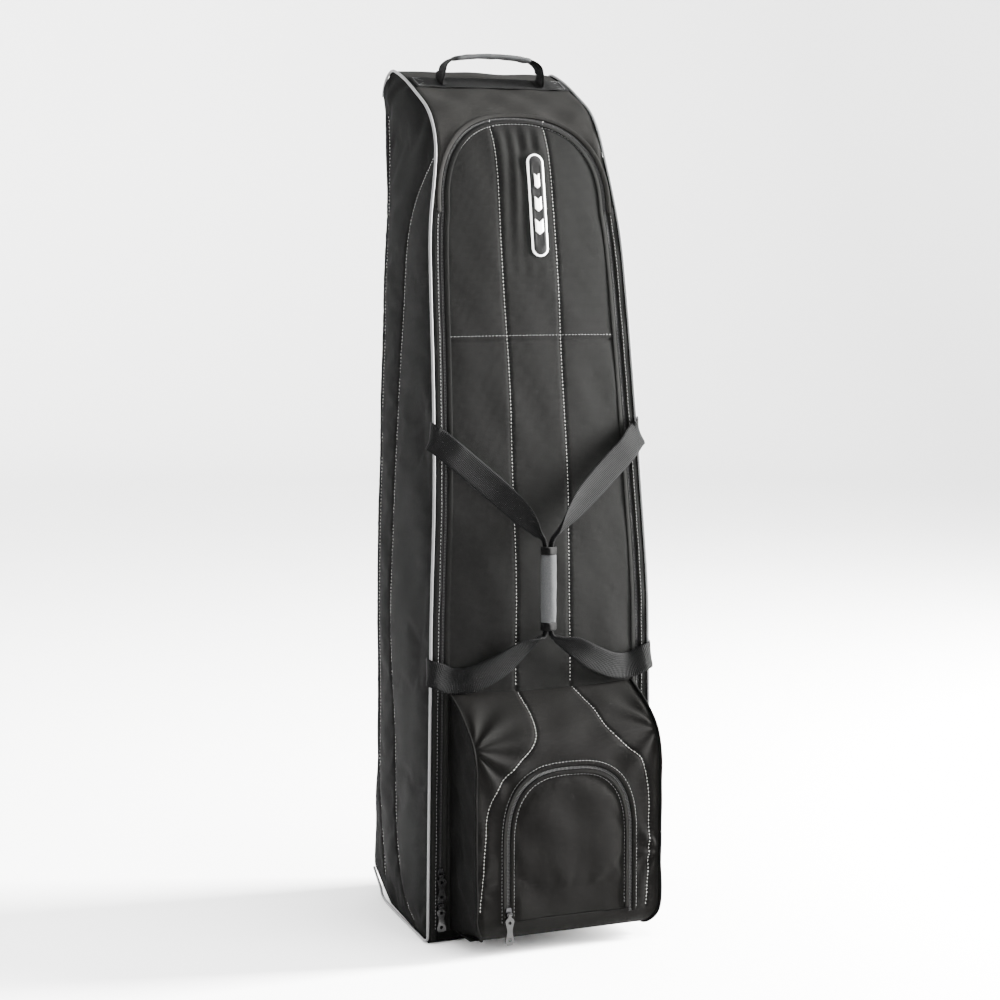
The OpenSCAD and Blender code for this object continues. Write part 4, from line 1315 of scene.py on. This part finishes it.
def strapRows(drop):
    high, low, y = strap["high"], strap["low"], strap["gripY"]
    wh = float(frontHalf(high * mm)) / mm
    wl = float(frontHalf(low * mm)) / mm
    fh = float(frontY(high * mm)) / mm
    fl = float(frontY(low * mm)) / mm
    top, foot = strap["gripTop"], strap["gripLow"]
    return [
        [(-wh - 2.8, fh + 10, high + 3), (0.1, 0.2, 1), 19, 1.2, 0],
        [(-wh - 5.0, fh + 2, high + 1), (0.18, 0.2, 0.96), 19, 1.2, 0],
        [(-wh - 3.4, fh - 5.8, high - 3), (0.33, 0.12, 0.93), 19, 1.2, 0],
        [(-wh + 4, fh - 9.6, high - 8), (0.52, 0.03, 0.85), 19, 1.2, 0],
        [(-139, -167.5, 713), (0.62, -0.04, 0.78), 19, 1.2, 0.3],
        [(-118, -171, 695), (0.66, 0, 0.75), 19, 1.2, 0.6],
        [(-70, y + 9, 653), (0.68, -0.12, 0.72), 18.5, 1.2, 1.8],
        [(-36, y + 2, 620), (0.60, -0.48, 0.64), 15.5, 1.25, 3.6],
        [(-17, y, 598), (0.35, -0.86, 0.36), 9.6, 1.5, 4.2],
        [(-4.5, y, top + 2), (0, -1, 0), 5.4, 2.1, 1.0],
        [(-3.6, y, 515), (0, -1, 0), 4.8, 2.6, 0],
        [(-4.5, y, foot - 2), (0, -1, 0), 5.4, 2.1, -1.0],
        [(-17, y, foot - 13), (-0.30, -0.86, 0.40), 9.6, 1.5, -4.2],
        [(-40, y + 1, foot - 24), (-0.46, -0.5, 0.72), 15.5, 1.25, -3.6],
        [(-74, y + 6, foot - 46 - drop * 0.6), (-0.44, -0.14, 0.88), 18.5, 1.2, -1.8],
        [(-112, y + 12, foot - 62 - drop), (-0.26, 0.02, 0.96), 19, 1.2, -0.6],
        [(-142, y + 19, foot - 64 - drop), (-0.02, 0.05, 1), 19, 1.2, 0],
        [(-wl + 7, fl - 9.4, low - 12 - drop), (0.12, 0.03, 0.99), 19, 1.2, 0],
        [(-wl - 3.0, fl - 5.8, low - 9 - drop), (0.12, 0.06, 0.99), 19, 1.2, 0],
        [(-wl - 5.0, fl + 2, low - 7 - drop), (0.06, 0.1, 0.99), 19, 1.2, 0],
        [(-wl - 2.8, fl + 10, low - 6 - drop), (0, 0.1, 1), 19, 1.2, 0]]


def mirrored(rows):
    return [[(-c[0], c[1], c[2]), (-d[0], d[1], d[2]), w, t, -f] for c, d, w, t, f in rows]


def boxStitch(name, centre, u, v, up, width, height):
    corners = [(-1, -1), (1, -1), (1, 1), (-1, 1), (-1, -1), (1, 1)], [(-1, 1), (1, -1)]
    made = []
    for path in corners:
        line = np.array([np.array(centre) + np.array(u) * a * width / 2 + np.array(v) * b * height / 2
                         for a, b in path])
        line = evenLine(line, 1 * mm)
        made.append(stitchRow(name, line, np.tile(np.array(up, float), (len(line), 1)), blackThread,
                              pitch=3 * mm, r=0.4 * mm))
    return made


def makeHaulStrap(sign):
    rows = strapRows(strap["dropLeft"] if sign < 0 else 0)
    name = "haulStrapLeft" if sign < 0 else "haulStrapRight"
    if sign > 0:
        rows = mirrored(rows)
    return ribbon(name, rows, webbing)


# padded cuff closed round both straps
grip = {"r": 10.5 * mm, "sleeve": 2.0 * mm, "band": 2.3 * mm, "bandLen": 11.6 * mm, "from": 178, "to": 341}


def cuffSheet(name, z0, z1, r0, thick, a0, a1, material, lobe=0.0, rows=26, seed=71):
    turn = np.radians(np.linspace(a0, a1, 40))
    zs = np.linspace(z0, z1, rows)
    wave = noiseField(seed, 6, 14 * mm, 45 * mm)
    rise = np.sin(np.linspace(0, math.pi, rows)) ** 0.35
    edge = np.sin(np.linspace(0, math.pi, 40)) ** 0.3
    r = r0 + thick * (0.55 + 0.45 * rise[:, None] * edge[None, :])
    r = r + lobe * wave(turn[None, :] * r0 * 2, zs[:, None])
    inner = np.full_like(r, r0)
    y0 = strap["gripY"] * mm

    def at(radius):
        return np.stack(np.broadcast_arrays(
            radius * np.cos(turn)[None, :], y0 + radius * np.sin(turn)[None, :], zs[:, None]), -1)

    points = np.concatenate([at(r), at(inner)[:, ::-1]], 1)
    count = points.shape[1]
    faces = gridFaces(rows, count, closed=True)
    faces += [tuple(range(count - 1, -1, -1)), tuple((rows - 1) * count + k for k in range(count))]
    flat = np.concatenate([turn * r0, turn[::-1] * r0])
    uv = np.stack(np.broadcast_arrays(flat[None, :], zs[:, None]), -1)
    return makeMesh(name, points, faces, material, uv)


def makeGrip():
    low, top = strap["gripLow"] * mm, strap["gripTop"] * mm
    tuck = grip["bandLen"] - 1 * mm
    sleeve = cuffSheet("gripSleeve", low + tuck, top - tuck, grip["r"], grip["sleeve"], grip["from"],
                       grip["to"] - 10, cloth["grip"], 0.25 * mm)
    # the black flap over the cuff's right edge stands for the dark line beside the grip: partly the wrap's
    # black edge, partly painted shadow of the gap between grip and lid
    flap = cuffSheet("gripFlapAndShadow", low + 2 * mm, top - 2 * mm, grip["r"] + 0.1 * mm, 1.8 * mm, grip["to"] - 12,
                     grip["to"] + 5, webbing, 0.12 * mm)
    bands = [cuffSheet("gripBands", a, a + grip["bandLen"], grip["r"], grip["band"], grip["from"], grip["to"],
                       webbing, 0.15 * mm, 10, 75) for a in (low, top - grip["bandLen"])]
    return sleeve, joinPieces("gripBands", bands + [flap])


# carrying handle on top
handle = {"y": 27 * mm, "span": 82 * mm, "hinge": 18.5 * mm, "rise": 25.5 * mm}
topS = alongAt(float(np.interp(handle["y"], pathYZ[:crest + 1, 0], pathYZ[:crest + 1, 1])))


def makeTopWebbing():
    n = frontPoint(0.0, topS, 1.0) - frontPoint(0.0, topS, 0.0)
    wide = np.array([0, -n[2], n[1]]) * -1
    rows = []
    for x in (-124, -112, -97, -82, -60, -30, 0, 30, 60, 82, 97, 112, 124):
        sag = 0.9 if abs(x) in (124, 112, 82) else 2.0
        c = frontPoint(x * mm, topS, (sag + 1.4) * mm) / mm
        rows.append([tuple(c), tuple(wide), 19, 1.15, 0])
    piece = ribbon("topWebbing", rows, webbing)
    made = [piece]
    for x in (-104, 104):
        c = frontPoint(x * mm, topS, 3.6 * mm)
        made += boxStitch("topWebbing", c, (1, 0, 0), wide, n, 30 * mm, 30 * mm)
    return joinPieces("topWebbing", made)


def handleFrame():
    n = frontPoint(0.0, topS, 1.0) - frontPoint(0.0, topS, 0.0)
    foot = frontPoint(0.0, topS, 0.0)
    return foot, n, foot + n * handle["hinge"]


def makeHandle():
    foot, n, hinge = handleFrame()
    wide = (0.0, float(n[2]), float(-n[1]))
    half = []
    for x, h in ((-72, 3.6), (-80.5, 4.4), (-82, 9), (-81.2, 15)):
        half.append([(x, *((foot + n * h * mm)[1:] / mm)), wide, 15, 1.2, 0])
    for x, h, w in (
            (-79.2, 2, 15), (-76.2, 11.5, 15), (-64.5, 19.6, 14.5), (-46, 23.2, 13.5), (-22, 25.2, 13)):
        half.append([(x, hinge[1] / mm, hinge[2] / mm + h), (0, 1, 0), w, 1.2, 0])
    middle = [[(0, hinge[1] / mm, hinge[2] / mm + 25.6), (0, 1, 0), 13, 1.2, 0]]
    other = [[(-c[0], c[1], c[2]), d, w, t, f] for c, d, w, t, f in half[::-1]]
    rows = [r if r[1] != (0, 1, 0) else [r[0], (0.0, 1.0, 0.0), *r[2:]] for r in half + middle + other]
    rows = [[c, (-d[0], -d[1] if d[2] == 0 else -d[1], -d[2]), w, t, f] for c, d, w, t, f in rows]
    rows = [[c, d if d[2] == 0 or d[1] < 0 else (-d[0], -d[1], -d[2]), w, t, f] for c, d, w, t, f in rows]
    return ribbon("handleStrap", rows, handleWebbing)


def makeHandleGrip():
    foot, n, hinge = handleFrame()
    xs = np.linspace(-60, 60, 61) * mm
    mid = np.interp(np.abs(xs) / mm, [0, 22, 46, 64.5], [25.6, 25.2, 23.2, 19.6]) * mm
    mid = smoothed(mid, 3) + hinge[2]
    turn = np.linspace(0, 2 * math.pi, 36, endpoint=False)
    c, s = np.cos(turn), np.sin(turn)
    wide = 15.6 * mm * np.sign(c) * np.abs(c) ** 0.75
    tall = 3.7 * mm * np.sign(s) * np.abs(s) ** 0.75
    wave = noiseField(81, 6, 12 * mm, 40 * mm)
    end = np.clip(np.minimum(np.arange(61), np.arange(61)[::-1]) / 2.0, 0, 1) ** 0.5
    size = 0.86 + 0.14 * end
    swellOut = 0.25 * mm * wave(xs[:, None], turn[None, :] * 9 * mm)
    t = unit(np.gradient(np.stack([xs, mid], 1), axis=0))
    h = tall[None, :] * size[:, None] + swellOut * np.sign(s)[None, :]
    y = hinge[1] + wide[None, :] * size[:, None]
    points = np.stack([xs[:, None] - t[:, 1:] * h, y, mid[:, None] + t[:, :1] * h], -1)
    uv = pairs(turn[None, :] * 10 * mm, xs[:, None])
    made = [makeMesh("handleGrip", points, tubeFaces(61, 36), cloth["grip"], uv)]
    for off in (-14.2, 14.2):
        line = np.stack([xs[2:-2], hinge[1] + 0 * xs[2:-2] + off * 0.93 * mm, mid[2:-2] + 2.9 * mm], 1)
        up = np.tile([0, 0.3 * np.sign(off), 1.0], (len(line), 1))
        made.append(stitchRow("handleGrip", line, up, blackThread, r=0.4 * mm))
    return joinPieces("handleGrip", made)


# badge: a raised black bar in a white border, with a plain motif
badge = {"x": 17 * mm, "z": 1.066, "length": 150 * mm, "width": 26 * mm, "border": 2.6 * mm}


def pillGrid(name, inset, out0, out1, material):
    half, length = badge["width"] / 2 - inset, badge["length"] / 2 - inset
    rings = []
    for grow, out in ((0, out0), (0, out1 - 0.3 * mm), (-0.35 * mm, out1), (-0.5 * half, out1 + 0.25 * mm)):
        h, l = half + grow, length + grow
        a = np.radians(np.linspace(0, 180, 25))
        top = np.stack([h * np.cos(a), l - half + h * np.sin(a)], 1)
        x = np.concatenate([top[:, 0], -top[:, 0]])
        z = np.concatenate([top[:, 1], -top[:, 1]])
        rings.append((x, z, out))
    points = np.concatenate([frontPoint(
        badge["x"] + x, alongAt(badge["z"]) + z, np.full(len(x), out + lid["crown"])) for x, z, out in rings])
    count = len(rings[0][0])
    faces = [f[::-1] for f in gridFaces(len(rings), count, closed=True)]
    last = (len(rings) - 1) * count
    half0 = count // 2
    for k in range(half0 - 1):
        faces.append((last + k, last + k + 1, last + count - 2 - k, last + count - 1 - k))
    x, z = np.concatenate([r[0] for r in rings]), np.concatenate([r[1] for r in rings])
    piece = makeMesh(name, points, faces, material, np.stack([x, z], 1))
    work = bmesh.new()
    work.from_mesh(piece.data)
    bmesh.ops.recalc_face_normals(work, faces=work.faces)
    work.to_mesh(piece.data)
    work.free()
    return piece


def makeBadge():
    made = [pillGrid("badge", 0, -1.5 * mm, 1.6 * mm, badgeWhite),
            pillGrid("badge", badge["border"], 1.2 * mm, 2.2 * mm, badgeBlack)]
    xs = np.linspace(-1, 1, 5)
    for k in range(3):
        zc = (-34 + 34 * k) * mm
        u, v = np.meshgrid(xs * (6.5 - k * 1.2) * mm, np.linspace(-1, 1, 9) * 9 * mm)
        s = alongAt(badge["z"]) + zc + v + 0.8 * np.abs(u)
        points = frontPoint(badge["x"] + u, s, lid["crown"] + 2.9 * mm)
        mark = makeMesh("badge", points, gridFaces(9, 5), badgeWhite, np.stack([u, v], -1))
        thicken(mark, 0.5 * mm)
        made.append(mark)
    return joinPieces("badge", made)


# inside and back
def makeHeadLiner():
    grid = 6 * mm
    inset = zipper["inset"] + zipper["tape"] + 15 * mm
    half = frontHalf(0.88) - inset
    xs = np.arange(-half - grid, half + 2 * grid, grid)
    s0 = alongAt(0.890)
    ss = np.arange(s0, alongAt(1.19) + grid, grid)

    def signed(x, s):
        return np.maximum(lidDistance(x, s, inset), s0 - s)

    piece = cutSheet("headLiner", xs, ss, signed, lambda x, s: frontPoint(x, s, -8.5 * mm), lining)
    piece.data.flip_normals()
    uv = pointUv(piece)
    quilt = np.abs(((heightAt(uv[:, 1]) - 0.89) / 0.06) % 1 - 0.5) > 0.46
    swell(piece, (signed(uv[:, 0], uv[:, 1]) > -4 * mm) | quilt, 2.4, 6 * mm, extra=0.02)

    def relief(u, v):
        line = np.abs(((heightAt(v) - 0.89) / 0.06 + 0.5) % 1 - 0.5) * 0.06
        inside = gently(-signed(u, v), 0, 14 * mm)
        return groove(line, 1.2 * mm, 3 * mm) * inside + 3.0 * mm * inside ** 0.6 - 0.6 * mm

    finishCloth(piece, relief, 2.4 * mm)
    return piece


def makeBack():
    z0, z1 = 0.1605, backTop - 0.8 * mm
    zs = np.arange(z0, z1, 6 * mm)
    share = np.linspace(-1, 1, 48)
    low = np.interp(zs, outline[:, 0], outline[:, 3] - outline[:, 5])
    half = rearHalf(zs) - low - 0.2 * mm
    x = half[:, None] * share[None, :]
    z = np.repeat(zs[:, None], 48, 1)
    piece = makeMesh("backPanel", np.stack([x, 0 * x + backY - 0.4 * mm, z], -1),
                     [f[::-1] for f in gridFaces(len(zs), 48)], cloth["back"], np.stack([x, z], -1))
    waves = noiseField(91, 7, 60 * mm, 160 * mm)

    def relief(u, v):
        rail = np.abs(np.abs(u) - 66 * mm)
        flat = gently(rail, 9 * mm, 26 * mm) + (v > 0.93)
        seams = np.minimum(np.abs(v - 0.98), np.abs(np.abs(u) - 24 * mm) + (v > 0.97))
        return 1.2 * mm * waves(u, v) * np.clip(flat, 0, 1) + groove(seams, 1.4 * mm, 2.6 * mm)

    return finishCloth(piece, relief, 3.0 * mm)


def backSeams():
    made = []
    for sign in (-1, 1):
        zs = np.arange(0.164, backTop - 4 * mm, 3 * mm)
        x = sign * (rearHalf(zs) - cornerWidth(zs) - 0.1 * mm)
        line = np.stack([x, 0 * zs + backY + 0.5 * mm, zs], 1)
        made.append(sweepCord("backSeams", line, 1.7 * mm, cloth["back"], 8))
        stitch = line + [-sign * 5 * mm, -0.2 * mm, 0]
        up = np.tile([0, 1.0, 0], (len(zs), 1))
        made.append(stitchRow("backSeams", stitch, up, paleThread, r=0.4 * mm))
    return joinPieces("backSeams", made)


def makeInnerStrap(node, z):
    made = []
    for sign in (-1, 1):
        rows = [[(sign * x, 119 - lift, z), (0, 0, 1), 12.5, 0.9, 0] for x, lift in (
            (92, 0), (84, 0.2), (66, 0.8), (44, 1.2), (26, 0.8), (18, 0.3))]
        made.append(ribbon(node, rows, handleWebbing, 4 * mm, 9))
    return joinPieces(node, made)


# every piece takes its place
def settle(piece, body="shell", replaced=()):
    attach(piece, body)
    if replaced:
        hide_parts(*replaced)


def settleBlend(piece, slot, bodyA, bodyB, start, end, replaced=()):
    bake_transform(piece)
    if replaced:
        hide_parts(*replaced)


makeCamera()
lidBlend = ("shell", "head_flap", (0, 0, 0.865), (0, 0, 0.885))
frontLid = makeLid()
settleBlend(lidStitches(frontLid), "panel_fabric", *lidBlend)
settle(seamStitches(frontLid), "head_flap")
innerRow = zipStitches("zipStitchesInner", frontLid, zipLine(zipper["inset"] + 8.6 * mm, 0.375))
settleBlend(innerRow, "panel_fabric", *lidBlend)
zipFrom = zipLine(zipper["inset"])
lidFold = frontStrip("lidFold", zipFrom, foldSection(-3.4 * mm, -9.5 * mm, 1.9 * mm)[::-1], cloth["front"])
thicken(lidFold, 0.9 * mm)
applyModifiers(lidFold)
frontLid = joinPieces("frontLid", [frontLid, lidFold])
settleBlend(frontLid, "panel_fabric", *lidBlend, ("lid_panel", "head_flap"))
print("lid made")

tapeSection = [[-0.3 * mm, -0.9 * mm], [1.2 * mm, -0.7 * mm], [3.0 * mm, -0.9 * mm], [5.6 * mm, -1.3 * mm]]
outerTape = frontStrip("zipTapeOuter", zipFrom, tapeSection, cloth["zip"])
innerTape = frontStrip("zipTapeInner", zipFrom, [[-a, b] for a, b in tapeSection[::-1]], cloth["zip"])
for tape in (outerTape, innerTape):
    thicken(tape, 0.8 * mm)
outerTape = joinPieces("zipTapeOuter", [outerTape, zipTeeth(zipFrom, 1)])
innerTape = joinPieces("zipTapeInner", [innerTape, zipTeeth(zipFrom, -1)])
settle(outerTape, "shell", ("main_zip_outer",))
settleBlend(innerTape, "zip_coil", *lidBlend, ("main_zip_lid", "head_flap_zip"))
hoodFold = frontStrip("hoodFold", zipLine(zipper["inset"], zipper["spring"] - 4 * mm),
                      foldSection(3.4 * mm, 9.5 * mm, 2.2 * mm), cloth["hood"])
thicken(hoodFold, 0.9 * mm)
applyModifiers(hoodFold)
hood = joinPieces("hoodPanel", [makeHood(), hoodFold])
gussets = {-1: makeGusset(-1), 1: makeGusset(1)}
for sign, sheet in gussets.items():
    line = zipLine(zipper["inset"] - 7.4 * mm, 0.02)
    line = line[(line[:, 0] * sign > 0) & (line[:, 1] < zipper["spring"])]
    if sign > 0:
        line = line[::-1]
    settle(joinPieces(sheet.name, [sheet, zipStitches("zipStitches", sheet, line)]), "shell",
           ("front_gusset_left" if sign < 0 else "front_gusset_right",))
settle(hood, "shell", ("hood_panel",))
settle(makeBaseBand())
settle(makeTop(), "shell", ("top_panel",))
print("zip, gussets and hood made")

for word, sign, seed in (("Left", -1, 101), ("Right", 1, 111)):
    panel = makeSide("sidePanel" + word, sign, seed)
    settle(sideStitches("sideStitches" + word, sign, panel))
    settle(panel, "shell", ("side_panel_" + word.lower(),))
settle(makePiping("pipingLeft", -1), "shell", ("piping_left",))
settle(makePiping("pipingRight", 1), "shell", ("piping_right",))
print("sides made")

doorStart, doorEnd = (0, 0, 0.070), (0, 0, 0.082)
face = makePocketFace()
rows = [pocketRow("pocketStitches", face, seam, paleThread) for seam in pocketSeams]
zipRow = doorLine(-9.6 * mm, 48 * mm)
rows.append(pocketRow("pocketStitches", face, zipRow, blackThread, share=0.6, r=0.5 * mm))
settle(joinPieces("pocketStitches", rows))
faceFold = pocketFold("faceFold", 3.2 * mm, 8.6 * mm, 1.9 * mm, 46 * mm)
settle(joinPieces("pocketFace", [face, faceFold]), "shell", ("pocket_face",))
settle(makePocketSides(), "shell", ("pocket_gusset",))
settle(makePocketBinding())
door = makePocketDoor()
doorRow = pocketRow("doorStitches", door, doorLine(9.4 * mm, 56 * mm), blackThread, share=0.6, r=0.5 * mm)
doorFold = pocketFold("doorFold", -3.2 * mm, -8.4 * mm, 1.7 * mm, 51 * mm)
settleBlend(joinPieces("pocketDoor", [door, doorFold, doorRow]), "panel_fabric", "shell", "pocket_door",
            doorStart, doorEnd, ("pocket_door",))
outer = joinPieces("pocketZipOuter", [
    pocketStrip(-6.2 * mm, -0.2 * mm),
    pocketTeeth(1)])
inner = joinPieces("pocketZipInner", [
    pocketStrip(0.2 * mm, 6.2 * mm),
    pocketTeeth(-1)])
settle(outer, "shell", ("pocket_zip_outer",))
settleBlend(inner, "zip_coil", "shell", "pocket_door", doorStart, doorEnd, ("pocket_door_zip",))
print("pocket made")

settleBlend(makeHaulStrap(-1), "webbing", "shell", "haul_left", (-0.172, 0, 0), (-0.130, 0, 0),
            ("haul_strap_left", "haul_tabs_left"))
settleBlend(makeHaulStrap(1), "webbing", "shell", "haul_right", (0.172, 0, 0), (0.130, 0, 0),
            ("haul_strap_right", "haul_tabs_right"))
sleeve, bands = makeGrip()
settle(sleeve, "grip_cuff", ("grip_wrap",))
settle(bands, "grip_cuff", ("grip_bands",))
settle(makeTopWebbing(), "shell", ("top_webbing",))
settleBlend(makeHandle(), "webbing", "shell", "top_handle", (0, 0.0235, 1.2556), (0, 0.0188, 1.2668),
            ("handle_tabs", "top_handle"))
pad = makeHandleGrip()
settle(pad, "top_handle", ("top_handle_grip",))
settle(makeBadge(), "head_flap", ("badge",))
print("straps, handle and badge made")

liner = makeHeadLiner()
settle(liner, "head_flap", ("head_flap_pad",))
settle(makeBack(), "shell", ("back_panel",))
settle(backSeams())
settle(makeInnerStrap("innerStrapUpper", 930), "shell", ("inner_strap_upper",))
settle(makeInnerStrap("innerStrapLower", 470), "shell", ("inner_strap_lower",))

finishes = {
    baseMoulding: ("base_pan", "wheel_housing_left", "wheel_housing_right", "back_board", "skid_rails",
                   "inner_buckle_upper", "inner_buckle_lower"),
    steel: ("axle_left", "axle_right", "axle_spacer_left", "axle_spacer_right", "axle_nut_left",
            "axle_nut_right", "bearings_left", "bearings_right", "rail_rivets", "base_rivets"),
    tyre: ("wheel_tyre_left", "wheel_tyre_right"),
    hubPlastic: ("wheel_hub_left", "wheel_hub_right"),
    gunMetal: ("main_slider_upper", "main_slider_lower", "pocket_slider"),
    blackGloss: ("main_pull_upper", "main_pull_lower", "pocket_pull"),
}
for finish, names in finishes.items():
    for name in names:
        for holder in nodes[name].material_slots:
            holder.material = finish
print("moulded and metal parts finished")


# a pale round studio floor that curves up into its wall, and soft light
def makeFloor():
    shade = Shade("paleFloor", Roughness=0.85)
    cloudy = shade.noise(1.5, 2.0)
    shade.drive(Base_Color=shade.mix(cloudy, (0.92, 0.92, 0.92), (0.95, 0.95, 0.95)))
    r, bend, tall = studio["radius"], studio["bend"], studio["wall"]
    turn = np.radians(np.arange(0, 91, 10))
    profile = [(0.02, 0), (r * 0.3, 0), (r * 0.7, 0)]
    profile += [(r + bend * math.sin(a), bend - bend * math.cos(a)) for a in turn]
    profile.append((r + bend, tall))
    around = np.radians(np.arange(0, 360, 5))
    points = [(d * math.cos(a), d * math.sin(a), z - 0.5 * mm) for d, z in profile for a in around]
    floor = makeMesh("studioFloor", points, gridFaces(len(profile), len(around), closed=True), shade.material)


def makeSky():
    world = bpy.data.worlds.new("studioSky")
    world.use_nodes = True
    background = world.node_tree.nodes["Background"]
    background.inputs["Color"].default_value = (*studio["sky"], 1)
    background.inputs["Strength"].default_value = studio["skyStrength"]
    bpy.context.scene.world = world


makeFloor()
makeSky()
makeLamp("keyLight", (3.5, -0.72, 1.5), (0, -0.1, 0.7), (0.9, 2.2), 3600, (1.0, 0.995, 0.98))
makeLamp("rearLight", (-2.6, 2.6, 1.6), (0, 0, 0.6), (1.4, 2.2), 80, (0.98, 0.99, 1.0))
makeLamp("topLight", (0.5, -0.9, 3.4), (0, 0, 1.0), (1.6, 1.4), 260)
